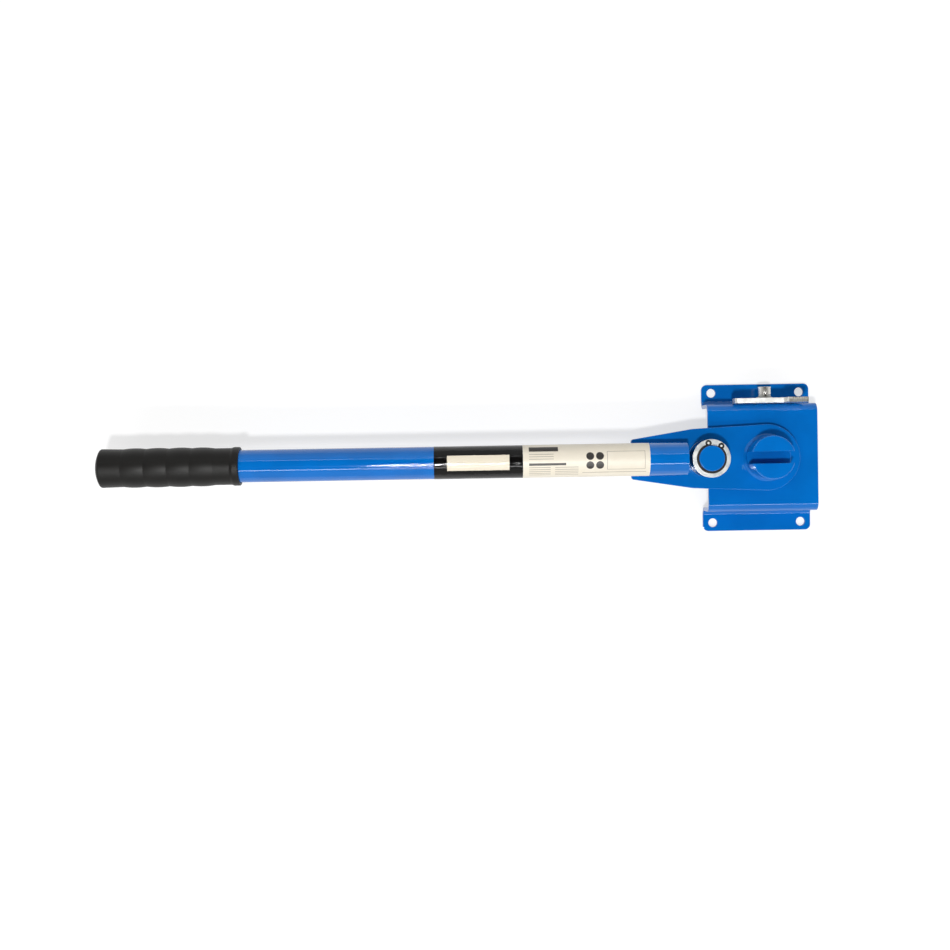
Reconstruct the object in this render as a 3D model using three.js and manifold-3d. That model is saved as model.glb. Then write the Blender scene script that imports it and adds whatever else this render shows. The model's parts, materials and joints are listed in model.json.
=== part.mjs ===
// A bench rebar bender: a folded steel base, a lever that turns on it about an upright pivot, a slotted
// bending post and a roller carried by the lever, and a stop plate clamped to the base's side wall.
// Millimetres, +Z up. The lever is drawn at rest, with its handle along -X.
import * as THREE from 'three';
import { mergeVertices } from 'three/addons/utils/BufferGeometryUtils.js';
import Module from 'manifold-3d';

const wasm = await Module();
wasm.setup();

// Gaps and overruns
const SEAT_GAP = 0.15; // between pieces that are welded, pressed or clamped together
const AXIAL_PLAY = 0.2; // at each face of a washer that turns
const RUNNING_CLEARANCE = 0.25; // round a shaft that turns in its bore
const CUT_OVERRUN = 2; // how far a cutting body passes the face it cuts

// Folded base
const SHEET_THICKNESS = 4;
const BASE_LENGTH = 110;
const BASE_WIDTH = 150;
const BASE_HEIGHT = 40;
const FLANGE_WIDTH = 21; // from the flange's edge to the wall's outer face
const BEND_RADIUS = 5;
const BASE_PAST_PIVOT = 53;
const FLANGE_CORNER_RADIUS = 5.5;
const BOLT_HOLE_DIAMETER = 9;
const BOLT_HOLE_FROM_END = 10;
const BOLT_HOLE_FROM_EDGE = 8.5;

// Pivot
const SPIGOT_DIAMETER = 28;
const SPIGOT_PAST_CIRCLIP = 2.5;
const SPIGOT_CHAMFER = 1;
const HUB_DIAMETER = 44;
const HUB_ABOVE_BENCH = 12;
const HUB_CHAMFER = 1;
const HUB_WELD_LEG = 5;
const THRUST_WASHER_DIAMETER = 60;
const THRUST_WASHER_THICKNESS = 1;
const PIVOT_WASHER_DIAMETER = 42;
const PIVOT_WASHER_THICKNESS = 2;
const PIVOT_CIRCLIP_THICKNESS = 1.5;
const PIVOT_GROOVE_DEPTH = 0.7;
const PIVOT_CIRCLIP_WIDTH = 2.6;
const PIVOT_CIRCLIP_LUG_RADIUS = 3;

// Bending post
const POST_DIAMETER = 43;
const POST_HEIGHT = 30;
const POST_RIM_BEVEL = 1.3;
const POST_SLOT_WIDTH = 11.7;
const POST_SLOT_DEPTH = 22;
const POST_WELD_LEG = 2.2;

// Lever plate
const PLATE_THICKNESS = 8;
const PLATE_ROUND_RADIUS = 33;
const PLATE_SHOULDER_FROM_PIVOT = 74;
const PLATE_SHOULDER_HALF_WIDTH = 29.5;
const PLATE_SHOULDER_RADIUS = 25;
const PLATE_TIP_FROM_PIVOT = 135;
const PLATE_TIP_HALF_WIDTH = 19.8;
const PLATE_TIP_RADIUS = 2.5;

// Lever tube and its welds
const TUBE_DIAMETER = 32;
const TUBE_WALL = 2;
const TUBE_START_FROM_PIVOT = 82;
const LEVER_REACH = 662;
const TUBE_WELD_END_INSET = 2;
const TUBE_WELD_TOE = 4;
const TUBE_WELD_ROOT_ANGLE = Math.PI / 9;
const TUBE_WELD_TOP_ANGLE = Math.PI / 3.4;

// Grip
const GRIP_FIT_GAP = 0.3;
const GRIP_END_WALL = 6.5;
const GRIP_END_DOME = 4.3;
const GRIP_END_RADIUS = 2.5;
const GRIP_END_DIAMETER = 38.2;
const GRIP_PLAIN_LENGTH = 27;
const GRIP_GROOVE_DIAMETER = 37.1;
const GRIP_BULGE_COUNT = 4;
const GRIP_BULGE_PITCH = 22.4;
const GRIP_BULGE_RISE = 0.85;
const GRIP_NECK_DIAMETER = 36.2;
const GRIP_NECK_LENGTH = 16.5;
const GRIP_COLLAR_DIAMETER = 38.1;
const GRIP_COLLAR_RAMP = 2.5;
const GRIP_COLLAR_LENGTH = 6;
const GRIP_COLLAR_EDGE_RADIUS = 1.2;

// Roller and its pin
const ROLLER_FROM_PIVOT = 60;
const ROLLER_DIAMETER = 37;
const ROLLER_HEIGHT = 25;
const ROLLER_CHAMFER = 1;
const ROLLER_BUSH_WALL = 2;
const PIN_DIAMETER = 25;
const PIN_SPIGOT_DIAMETER = 20;
const PIN_PAST_CIRCLIP = 2;
const PIN_CHAMFER = 1;
const PIN_WELD_LEG = 2.5;
const ROLLER_LOWER_WASHER_THICKNESS = 1;
const ROLLER_WASHER_DIAMETER = 37.4;
const ROLLER_WASHER_THICKNESS = 2;
const ROLLER_WASHER_CHAMFER = 0.4;
const ROLLER_CIRCLIP_THICKNESS = 1.2;
const ROLLER_GROOVE_DEPTH = 0.55;
const ROLLER_CIRCLIP_WIDTH = 2.5;
const ROLLER_CIRCLIP_LUG_RADIUS = 3;

// Circlips
const CIRCLIP_EYE_DIAMETER = 2.4;
const CIRCLIP_LUG_ANGLES = [52, 102].map((degrees) => THREE.MathUtils.degToRad(degrees));
const CIRCLIP_THICK_SIDE_SHIFT = 0.3;

// Stop plate, drawn from its screw
const STOP_THICKNESS = 5;
const STOP_SCREW_FROM_PIVOT = 3.9;
const STOP_SCREW_ABOVE_MIDDLE = 2; // above half the base's height
const STOP_HANDLE_REACH = 34.4;
const STOP_HANDLE_TOP = 27;
const STOP_HANDLE_FOOT = 9;
const STOP_LUG_FACE = 14.5;
const STOP_LUG_FOOT = 30;
const STOP_LUG_TOP = 42;
const STOP_LUG_REACH = 35.8;
const STOP_LUG_LOWER_CORNER = 14;
const STOP_CORNER_RADIUS = 3;

// Stop screw, washers and nut
const SCREW_DIAMETER = 8;
const SCREW_HEAD_DIAMETER = 13;
const SCREW_HEAD_HEIGHT = 8;
const SCREW_HEAD_BEVEL = 0.6;
const SCREW_SOCKET_ACROSS = 6;
const SCREW_SOCKET_DEPTH = 4;
const SCREW_PAST_NUT = 3;
const SCREW_HOLE_CLEARANCE = 0.3;
const FLAT_WASHER_DIAMETER = 16;
const FLAT_WASHER_THICKNESS = 1.6;
const SPRING_WASHER_DIAMETER = 12.7;
const SPRING_WASHER_THICKNESS = 2;
const SPRING_WASHER_SPLIT = 1.2;
const NUT_ACROSS_FLATS = 13;
const NUT_HEIGHT = 6.5;
const NUT_BEVEL = 0.8;

// Steps of the faceted curves
const ROUND_STEPS = 40;
const SMALL_ROUND_STEPS = 24;
const CORNER_STEPS = 3;
const GRIP_STEPS = 32;
const LONG_ARC_STEPS = 10;

// Finishes, read from the photograph
const bluePaint = { color: 0x0068c8, roughness: 0.35, metalness: 0 };
const zinc = { color: 0xc9c7c0, roughness: 0.3, metalness: 1 };
const bareSteel = { color: 0x8f9092, roughness: 0.4, metalness: 1 };
const springSteel = { color: 0x1d1d1f, roughness: 0.45, metalness: 0.6 };
const bronze = { color: 0xa9803f, roughness: 0.45, metalness: 1 };
const blackPlastic = { color: 0x252525, roughness: 0.6, metalness: 0 };

// Directions in which a drawn section is carried: its own x, y and depth in the object's axes
const X_AXIS = new THREE.Vector3(1, 0, 0);
const Y_AXIS = new THREE.Vector3(0, 1, 0);
const Z_AXIS = new THREE.Vector3(0, 0, 1);
const ALONG_X = new THREE.Matrix4().makeBasis(Y_AXIS, Z_AXIS, X_AXIS);
const ALONG_Y = new THREE.Matrix4().makeBasis(Z_AXIS, X_AXIS, Y_AXIS);
const ALONG_MINUS_Y = new THREE.Matrix4().makeBasis(X_AXIS, Z_AXIS, Y_AXIS.clone().negate());
const UPRIGHT = new THREE.Matrix4().makeRotationX(Math.PI / 2);

// Heights of the stack on the pivot
const leverBottom = BASE_HEIGHT + THRUST_WASHER_THICKNESS + 2 * AXIAL_PLAY;
const leverTop = leverBottom + PLATE_THICKNESS;
const hubTop = BASE_HEIGHT - SHEET_THICKNESS - SEAT_GAP;
const pivotWasherTop = HUB_ABOVE_BENCH - AXIAL_PLAY;
const pivotCirclipTop = pivotWasherTop - PIVOT_WASHER_THICKNESS - SEAT_GAP;
const pivotCirclipBottom = pivotCirclipTop - PIVOT_CIRCLIP_THICKNESS;
const spigotBottom = pivotCirclipBottom - SPIGOT_PAST_CIRCLIP;
const spigotRadius = SPIGOT_DIAMETER / 2;
const hubBoreRadius = spigotRadius + RUNNING_CLEARANCE;

// Heights of the stack on the roller's pin
const lowerWasherBottom = leverTop + SEAT_GAP;
const rollerBottom = lowerWasherBottom + ROLLER_LOWER_WASHER_THICKNESS + AXIAL_PLAY;
const rollerTop = rollerBottom + ROLLER_HEIGHT;
const rollerWasherBottom = rollerTop + AXIAL_PLAY;
const rollerCirclipBottom = rollerWasherBottom + ROLLER_WASHER_THICKNESS + SEAT_GAP;
const rollerCirclipTop = rollerCirclipBottom + ROLLER_CIRCLIP_THICKNESS;
const pinTop = rollerCirclipTop + PIN_PAST_CIRCLIP;
const pinRadius = PIN_DIAMETER / 2;
const pinBoreRadius = pinRadius + RUNNING_CLEARANCE;
const bushOuterRadius = pinBoreRadius + ROLLER_BUSH_WALL;

// Lever tube and grip
const tubeRadius = TUBE_DIAMETER / 2;
const tubeHeight = leverTop + SEAT_GAP + tubeRadius;
const tubeEndFromPivot = LEVER_REACH - GRIP_END_WALL - GRIP_FIT_GAP;
const gripBulgesLength = GRIP_BULGE_COUNT * GRIP_BULGE_PITCH;

// The stop screw's height, and the stop's boss about it, which reaches down to the end of the flange's bend
const stopScrewHeight = BASE_HEIGHT / 2 + STOP_SCREW_ABOVE_MIDDLE;
const stopBossRadius = stopScrewHeight - SHEET_THICKNESS - BEND_RADIUS;

// Places along the stop screw, from the wall outwards
const wallOuterFace = BASE_WIDTH / 2 - FLANGE_WIDTH;
const wallInnerFace = wallOuterFace - SHEET_THICKNESS;
const stopInnerFace = wallOuterFace + SEAT_GAP;
const stopOuterFace = stopInnerFace + STOP_THICKNESS;
const flatWasherFace = stopOuterFace + SEAT_GAP;
const springWasherFace = flatWasherFace + FLAT_WASHER_THICKNESS + SEAT_GAP;
const screwHeadFace = springWasherFace + SPRING_WASHER_THICKNESS + SEAT_GAP;
const nutOuterFace = wallInnerFace - SEAT_GAP;
const nutInnerFace = nutOuterFace - NUT_HEIGHT;
const screwRadius = SCREW_DIAMETER / 2;
const screwHoleRadius = screwRadius + SCREW_HOLE_CLEARANCE;

// The base along X, and the shift that puts the part's origin under its middle
const baseStart = BASE_PAST_PIVOT - BASE_LENGTH;
const originShift = (LEVER_REACH - BASE_PAST_PIVOT) / 2;

// One closed surface out of a geometry: shared vertices merged, empty faces dropped, faces outwards.
function closedSurface(geometry) {
  const bare = geometry.clone();
  bare.deleteAttribute('normal');
  bare.deleteAttribute('uv');
  const merged = mergeVertices(bare);
  const kept = [];
  const index = merged.index.array;
  for (let i = 0; i < index.length; i += 3) {
    const [a, b, c] = [index[i], index[i + 1], index[i + 2]];
    if (a !== b && b !== c && c !== a) kept.push(a, b, c);
  }
  merged.setIndex(kept);
  return signedVolume(merged) < 0 ? turnedInsideOut(merged) : merged;
}

function signedVolume(geometry) {
  const place = geometry.getAttribute('position');
  const index = geometry.index.array;
  const [a, b, c] = [new THREE.Vector3(), new THREE.Vector3(), new THREE.Vector3()];
  let sum = 0;
  for (let i = 0; i < index.length; i += 3) {
    a.fromBufferAttribute(place, index[i]);
    b.fromBufferAttribute(place, index[i + 1]);
    c.fromBufferAttribute(place, index[i + 2]);
    sum += a.dot(b.cross(c));
  }
  return sum;
}

function turnedInsideOut(geometry) {
  const index = Array.from(geometry.index.array);
  for (let i = 0; i < index.length; i += 3) {
    [index[i + 1], index[i + 2]] = [index[i + 2], index[i + 1]];
  }
  geometry.setIndex(index);
  return geometry;
}

function solidOf(geometry) {
  const closed = closedSurface(geometry);
  return new wasm.Manifold(new wasm.Mesh({
    numProp: 3,
    vertProperties: closed.getAttribute('position').array,
    triVerts: new Uint32Array(closed.index.array),
  }));
}

function geometryOf(solid) {
  const mesh = solid.getMesh();
  const geometry = new THREE.BufferGeometry();
  geometry.setAttribute('position', new THREE.BufferAttribute(mesh.vertProperties, 3));
  geometry.setIndex(new THREE.BufferAttribute(mesh.triVerts, 1));
  return geometry;
}

// A body less the bodies that cut it.
function cut(body, cutters) {
  const left = cutters.reduce((solid, cutter) => solid.subtract(solidOf(cutter)), solidOf(body));
  return geometryOf(left);
}

function join(bodies) {
  const [first, ...others] = bodies.map(solidOf);
  return geometryOf(others.reduce((solid, other) => solid.add(other), first));
}

// Where the line from a point touches a circle that lies to its left (side 1) or its right (side -1).
function touchPoint([px, py], [cx, cy], radius, side) {
  const reach = Math.hypot(cx - px, cy - py);
  const angle = Math.atan2(cy - py, cx - px) - side * Math.asin(radius / reach);
  const length = Math.sqrt(reach ** 2 - radius ** 2);
  return [px + length * Math.cos(angle), py + length * Math.sin(angle)];
}

// A closed outline, anticlockwise. A corner is [x, y, radius]; { centre, radius } goes round a circle.
function outline(corners) {
  const shape = new THREE.Shape();
  const at = (i) => corners[(i + corners.length) % corners.length];
  const leave = (i) => (at(i).centre ? touchPoint(at(i + 1), at(i).centre, at(i).radius, -1) : at(i));
  const enter = (i) => (at(i).centre ? touchPoint(at(i - 1), at(i).centre, at(i).radius, 1) : at(i));
  corners.forEach((corner, i) => {
    if (corner.centre) {
      const [cx, cy] = corner.centre;
      const [from, to] = [enter(i), leave(i)];
      const turn = ([x, y]) => Math.atan2(y - cy, x - cx);
      shape.absarc(cx, cy, corner.radius, turn(from), turn(to), false);
      return;
    }
    const [x, y, radius = 0] = corner;
    const here = new THREE.Vector2(x, y);
    const back = new THREE.Vector2(...leave(i - 1)).sub(here).normalize();
    const ahead = new THREE.Vector2(...enter(i + 1)).sub(here).normalize();
    if (radius === 0) {
      if (i === 0) shape.moveTo(x, y);
      else shape.lineTo(x, y);
      return;
    }
    const half = Math.acos(back.dot(ahead)) / 2;
    const centre = back.clone().add(ahead).setLength(radius / Math.sin(half)).add(here);
    const start = back.clone().multiplyScalar(radius / Math.tan(half)).add(here).sub(centre);
    const end = ahead.clone().multiplyScalar(radius / Math.tan(half)).add(here).sub(centre);
    shape.absarc(centre.x, centre.y, radius, start.angle(), end.angle(), back.cross(ahead) > 0);
  });
  return shape;
}

// A section carried over a depth, in the direction of a basis.
function carried(shape, depth, basis = new THREE.Matrix4(), curveSegments = CORNER_STEPS) {
  const geometry = new THREE.ExtrudeGeometry(shape, { depth, bevelEnabled: false, curveSegments });
  return geometry.applyMatrix4(basis);
}

// A closed half section, drawn as [distance from the axis, height], turned about the Z axis.
function turned(shape, steps = ROUND_STEPS, cornerSteps = CORNER_STEPS) {
  const points = shape.getPoints(cornerSteps);
  points.push(points[0].clone());
  return new THREE.LatheGeometry(points, steps).applyMatrix4(UPRIGHT);
}

function disc(radius, bottom, top, steps = ROUND_STEPS) {
  return turned(outline([[0, bottom], [radius, bottom], [radius, top], [0, top]]), steps);
}

// A flat ring with both outer edges chamfered.
function ring(innerRadius, outerRadius, bottom, top, chamfer = 0, steps = ROUND_STEPS) {
  const corners = chamfer > 0
    ? [[outerRadius - chamfer, bottom], [outerRadius, bottom + chamfer],
      [outerRadius, top - chamfer], [outerRadius - chamfer, top]]
    : [[outerRadius, bottom], [outerRadius, top]];
  return turned(outline([[innerRadius, bottom], ...corners, [innerRadius, top]]), steps);
}

// A weld in the corner of a shaft and a face. Its leg points up or down from the face.
function weldRing(shaftRadius, faceHeight, leg, upwards) {
  const near = shaftRadius + SEAT_GAP;
  const side = upwards ? 1 : -1;
  const seat = faceHeight + side * SEAT_GAP;
  const shape = new THREE.Shape();
  shape.moveTo(near, seat);
  shape.lineTo(near + leg, seat);
  shape.quadraticCurveTo(near + leg / 2, seat + side * leg / 2, near, seat + side * leg);
  return turned(shape);
}

// An external circlip that lies flat: a ring thicker on the far side of its gap, and two drilled lugs.
function circlip(grooveRadius, width, thickness, lugRadius, bottom) {
  const [first, last] = CIRCLIP_LUG_ANGLES;
  const middle = (first + last) / 2;
  const inner = grooveRadius + SEAT_GAP;
  const outer = inner + width;
  const eyeRadius = CIRCLIP_EYE_DIAMETER / 2;
  const lugDistance = inner + lugRadius;
  const top = bottom + thickness;
  const lugs = [first, last].map((angle) => disc(lugRadius, bottom, top, SMALL_ROUND_STEPS)
    .translate(lugDistance * Math.cos(angle), lugDistance * Math.sin(angle), 0));
  const eyes = [first, last].map((angle) => disc(
    eyeRadius, bottom - CUT_OVERRUN, top + CUT_OVERRUN, SMALL_ROUND_STEPS,
  ).translate(lugDistance * Math.cos(angle), lugDistance * Math.sin(angle), 0));
  const body = disc(outer, bottom, top).translate(
    -CIRCLIP_THICK_SIDE_SHIFT * Math.cos(middle), -CIRCLIP_THICK_SIDE_SHIFT * Math.sin(middle), 0,
  );
  const wedgeReach = outer + 2 * lugRadius;
  const gapWedge = new THREE.Shape([
    new THREE.Vector2(0, 0),
    new THREE.Vector2(wedgeReach * Math.cos(first), wedgeReach * Math.sin(first)),
    new THREE.Vector2(wedgeReach * Math.cos(last), wedgeReach * Math.sin(last)),
  ]);
  const gap = carried(gapWedge, thickness + 2 * CUT_OVERRUN).translate(0, 0, bottom - CUT_OVERRUN);
  const bore = disc(inner, bottom - CUT_OVERRUN, top + CUT_OVERRUN);
  return cut(join([cut(body, [gap]), ...lugs]), [bore, ...eyes]);
}

// The folded sheet: a hat section bent from one strip, rounded flange corners, holes for bolts and pivot.
function baseChannel() {
  const [edge, wall, inside] = [BASE_WIDTH / 2, wallOuterFace, wallInnerFace];
  const outerBend = BEND_RADIUS + SHEET_THICKNESS;
  const roof = BASE_HEIGHT - SHEET_THICKNESS;
  const section = outline([
    [edge, 0], [edge, SHEET_THICKNESS], [wall, SHEET_THICKNESS, BEND_RADIUS],
    [wall, BASE_HEIGHT, outerBend], [-wall, BASE_HEIGHT, outerBend],
    [-wall, SHEET_THICKNESS, BEND_RADIUS], [-edge, SHEET_THICKNESS], [-edge, 0],
    [-inside, 0, outerBend], [-inside, roof, BEND_RADIUS],
    [inside, roof, BEND_RADIUS], [inside, 0, outerBend],
  ]);
  const strip = carried(section, BASE_LENGTH, ALONG_X).translate(baseStart, 0, 0);
  const blank = carried(outline([
    [baseStart, -edge, FLANGE_CORNER_RADIUS], [BASE_PAST_PIVOT, -edge, FLANGE_CORNER_RADIUS],
    [BASE_PAST_PIVOT, edge, FLANGE_CORNER_RADIUS], [baseStart, edge, FLANGE_CORNER_RADIUS],
  ]), BASE_HEIGHT + 2 * CUT_OVERRUN).translate(0, 0, -CUT_OVERRUN);
  const trimmed = geometryOf(solidOf(strip).intersect(solidOf(blank)));
  const holes = [baseStart + BOLT_HOLE_FROM_END, BASE_PAST_PIVOT - BOLT_HOLE_FROM_END].flatMap((x) => (
    [-1, 1].map((side) => disc(
      BOLT_HOLE_DIAMETER / 2, -CUT_OVERRUN, SHEET_THICKNESS + CUT_OVERRUN, SMALL_ROUND_STEPS,
    ).translate(x, side * (edge - BOLT_HOLE_FROM_EDGE), 0))
  ));
  const pivotHole = disc(hubBoreRadius, roof - CUT_OVERRUN, BASE_HEIGHT + CUT_OVERRUN);
  const screwHole = disc(
    screwHoleRadius, wallInnerFace - CUT_OVERRUN, wallOuterFace + CUT_OVERRUN, SMALL_ROUND_STEPS,
  ).applyMatrix4(ALONG_Y).translate(STOP_SCREW_FROM_PIVOT, 0, stopScrewHeight);
  return cut(trimmed, [...holes, pivotHole, screwHole]);
}

function pivotHub() {
  return ring(hubBoreRadius, HUB_DIAMETER / 2, HUB_ABOVE_BENCH, hubTop, HUB_CHAMFER);
}

// The post and its spigot are one turned piece; the slot for the bar is milled along the lever.
function bendingPost() {
  const radius = POST_DIAMETER / 2;
  const seat = leverTop + SEAT_GAP;
  const top = seat + POST_HEIGHT;
  const groove = spigotRadius - PIVOT_GROOVE_DEPTH;
  const grooveTop = pivotCirclipTop + SEAT_GAP;
  const grooveBottom = pivotCirclipBottom - SEAT_GAP;
  const body = turned(outline([
    [0, spigotBottom], [spigotRadius - SPIGOT_CHAMFER, spigotBottom],
    [spigotRadius, spigotBottom + SPIGOT_CHAMFER], [spigotRadius, grooveBottom],
    [groove, grooveBottom], [groove, grooveTop], [spigotRadius, grooveTop],
    [spigotRadius, seat], [radius, seat],
    [radius, top - POST_RIM_BEVEL], [radius - POST_RIM_BEVEL, top], [0, top],
  ]));
  const slotLength = POST_DIAMETER + 2 * CUT_OVERRUN;
  const slot = new THREE.BoxGeometry(slotLength, POST_SLOT_WIDTH, POST_SLOT_DEPTH + CUT_OVERRUN)
    .translate(0, 0, top + (CUT_OVERRUN - POST_SLOT_DEPTH) / 2);
  return cut(body, [slot]);
}

// Round at the pivot, straight sides to the shoulders, then a taper down to the tube.
function leverPlate() {
  const shape = outline([
    [-PLATE_TIP_FROM_PIVOT, -PLATE_TIP_HALF_WIDTH, PLATE_TIP_RADIUS],
    [-PLATE_SHOULDER_FROM_PIVOT, -PLATE_SHOULDER_HALF_WIDTH, PLATE_SHOULDER_RADIUS],
    { centre: [0, 0], radius: PLATE_ROUND_RADIUS },
    [-PLATE_SHOULDER_FROM_PIVOT, PLATE_SHOULDER_HALF_WIDTH, PLATE_SHOULDER_RADIUS],
    [-PLATE_TIP_FROM_PIVOT, PLATE_TIP_HALF_WIDTH, PLATE_TIP_RADIUS],
  ]);
  const plate = carried(shape, PLATE_THICKNESS, undefined, LONG_ARC_STEPS).translate(0, 0, leverBottom);
  const spigotHole = disc(spigotRadius + SEAT_GAP, leverBottom - CUT_OVERRUN, leverTop + CUT_OVERRUN);
  const pinHoleRadius = PIN_SPIGOT_DIAMETER / 2 + SEAT_GAP;
  const pinHole = turned(outline([
    [0, leverBottom - CUT_OVERRUN], [pinHoleRadius + PIN_WELD_LEG, leverBottom - CUT_OVERRUN],
    [pinHoleRadius + PIN_WELD_LEG, leverBottom], [pinHoleRadius, leverBottom + PIN_WELD_LEG],
    [pinHoleRadius, leverTop + CUT_OVERRUN], [0, leverTop + CUT_OVERRUN],
  ])).translate(-ROLLER_FROM_PIVOT, 0, 0);
  return cut(plate, [spigotHole, pinHole]);
}

function leverTube() {
  const section = new THREE.Shape().absarc(0, tubeHeight, tubeRadius, 0, 2 * Math.PI, false);
  section.holes.push(new THREE.Path().absarc(0, tubeHeight, tubeRadius - TUBE_WALL, 0, 2 * Math.PI, true));
  return carried(section, tubeEndFromPivot - TUBE_START_FROM_PIVOT, ALONG_X, ROUND_STEPS / 2)
    .translate(-tubeEndFromPivot, 0, 0);
}

// A bead in the wedge between the tube and the plate, on one side (1 or -1) of the tube.
function tubeWeld(side) {
  const around = tubeRadius + SEAT_GAP;
  const seat = leverTop + SEAT_GAP;
  const rootY = around * Math.sin(TUBE_WELD_ROOT_ANGLE);
  const topY = around * Math.sin(TUBE_WELD_TOP_ANGLE);
  const topZ = tubeHeight - around * Math.cos(TUBE_WELD_TOP_ANGLE);
  const down = -Math.PI / 2;
  const shape = new THREE.Shape();
  shape.moveTo(rootY, seat);
  shape.lineTo(topY + TUBE_WELD_TOE, seat);
  shape.quadraticCurveTo(topY + TUBE_WELD_TOE, topZ, topY, topZ);
  shape.absarc(0, tubeHeight, around, down + TUBE_WELD_TOP_ANGLE, down + TUBE_WELD_ROOT_ANGLE, true);
  const start = PLATE_TIP_FROM_PIVOT - TUBE_WELD_END_INSET;
  const length = start - TUBE_START_FROM_PIVOT - TUBE_WELD_END_INSET;
  return carried(shape, length, ALONG_X, CORNER_STEPS).translate(-start, 0, 0).scale(1, side, 1);
}

// A closed sleeve: domed end, plain end, a row of finger bulges, a neck and a collar.
function handGrip() {
  const bore = tubeRadius + GRIP_FIT_GAP;
  const [end, groove] = [GRIP_END_DIAMETER / 2, GRIP_GROOVE_DIAMETER / 2];
  const [neck, collar] = [GRIP_NECK_DIAMETER / 2, GRIP_COLLAR_DIAMETER / 2];
  const domeSlope = Math.atan2(GRIP_END_DOME, end / 2 - GRIP_END_RADIUS);
  const rim = end - GRIP_END_RADIUS;
  const shape = new THREE.Shape();
  shape.moveTo(0, 0);
  shape.quadraticCurveTo(end / 2, 0, rim + GRIP_END_RADIUS * Math.sin(domeSlope), GRIP_END_DOME);
  shape.absarc(
    rim, GRIP_END_DOME + GRIP_END_RADIUS * Math.cos(domeSlope), GRIP_END_RADIUS,
    domeSlope - Math.PI / 2, 0, false,
  );
  shape.lineTo(groove, GRIP_PLAIN_LENGTH);
  for (let i = 0; i < GRIP_BULGE_COUNT; i += 1) {
    const start = GRIP_PLAIN_LENGTH + i * GRIP_BULGE_PITCH;
    shape.quadraticCurveTo(
      groove + 2 * GRIP_BULGE_RISE, start + GRIP_BULGE_PITCH / 2, groove, start + GRIP_BULGE_PITCH,
    );
  }
  const neckStart = GRIP_PLAIN_LENGTH + gripBulgesLength;
  const rampStart = neckStart + GRIP_NECK_LENGTH;
  const collarStart = rampStart + GRIP_COLLAR_RAMP;
  const mouth = collarStart + GRIP_COLLAR_LENGTH;
  shape.lineTo(neck, neckStart + GRIP_BULGE_RISE);
  shape.lineTo(neck, rampStart);
  shape.lineTo(collar, collarStart);
  shape.lineTo(collar, mouth - GRIP_COLLAR_EDGE_RADIUS);
  shape.absarc(
    collar - GRIP_COLLAR_EDGE_RADIUS, mouth - GRIP_COLLAR_EDGE_RADIUS, GRIP_COLLAR_EDGE_RADIUS,
    0, Math.PI / 2, false,
  );
  shape.lineTo(bore, mouth);
  shape.lineTo(bore, GRIP_END_WALL);
  shape.lineTo(0, GRIP_END_WALL);
  return turned(shape, GRIP_STEPS, 2 * CORNER_STEPS).applyMatrix4(ALONG_X)
    .translate(-LEVER_REACH, 0, tubeHeight);
}

// A shouldered pin: its thin foot fills the plate, its groove takes the circlip.
function rollerPin() {
  const foot = PIN_SPIGOT_DIAMETER / 2;
  const groove = pinRadius - ROLLER_GROOVE_DEPTH;
  const shoulder = leverTop + SEAT_GAP;
  const grooveBottom = rollerCirclipBottom - SEAT_GAP;
  const grooveTop = rollerCirclipTop + SEAT_GAP;
  return turned(outline([
    [0, leverBottom], [foot, leverBottom], [foot, shoulder], [pinRadius, shoulder],
    [pinRadius, grooveBottom], [groove, grooveBottom], [groove, grooveTop], [pinRadius, grooveTop],
    [pinRadius, pinTop - PIN_CHAMFER], [pinRadius - PIN_CHAMFER, pinTop], [0, pinTop],
  ]));
}

function rollerPinWeld() {
  const inner = PIN_SPIGOT_DIAMETER / 2 + SEAT_GAP;
  const leg = PIN_WELD_LEG - 2 * SEAT_GAP;
  return turned(outline([[inner, leverBottom], [inner + leg, leverBottom], [inner, leverBottom + leg]]));
}

// The stop: a plate that hangs on its screw, low towards the handle, with a raised lug at the other end.
function stopPlate() {
  const shape = outline([
    [STOP_LUG_REACH, STOP_LUG_LOWER_CORNER, STOP_CORNER_RADIUS],
    [STOP_LUG_REACH, STOP_LUG_TOP, STOP_CORNER_RADIUS],
    [STOP_LUG_FACE, STOP_LUG_TOP, STOP_CORNER_RADIUS],
    [STOP_LUG_FACE, STOP_LUG_FOOT, STOP_CORNER_RADIUS],
    [-STOP_HANDLE_REACH, STOP_HANDLE_TOP, STOP_CORNER_RADIUS],
    [-STOP_HANDLE_REACH, STOP_HANDLE_FOOT, STOP_CORNER_RADIUS],
    { centre: [0, 0], radius: stopBossRadius },
  ]);
  shape.holes.push(new THREE.Path().absarc(0, 0, screwHoleRadius, 0, 2 * Math.PI, true));
  return carried(shape, STOP_THICKNESS, ALONG_MINUS_Y, LONG_ARC_STEPS)
    .translate(STOP_SCREW_FROM_PIVOT, stopOuterFace, stopScrewHeight);
}

// A six-sided section, as wide across its flats as told.
function hexagon(acrossFlats) {
  const corner = acrossFlats / Math.sqrt(3);
  return outline(Array.from({ length: 6 }, (_, i) => (
    [corner * Math.cos(i * Math.PI / 3), corner * Math.sin(i * Math.PI / 3)]
  )));
}

// What is drawn along Z from the pivot's plane is laid along Y at the stop screw.
function onStopScrew(geometry) {
  return geometry.applyMatrix4(ALONG_Y).translate(STOP_SCREW_FROM_PIVOT, 0, stopScrewHeight);
}

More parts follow.
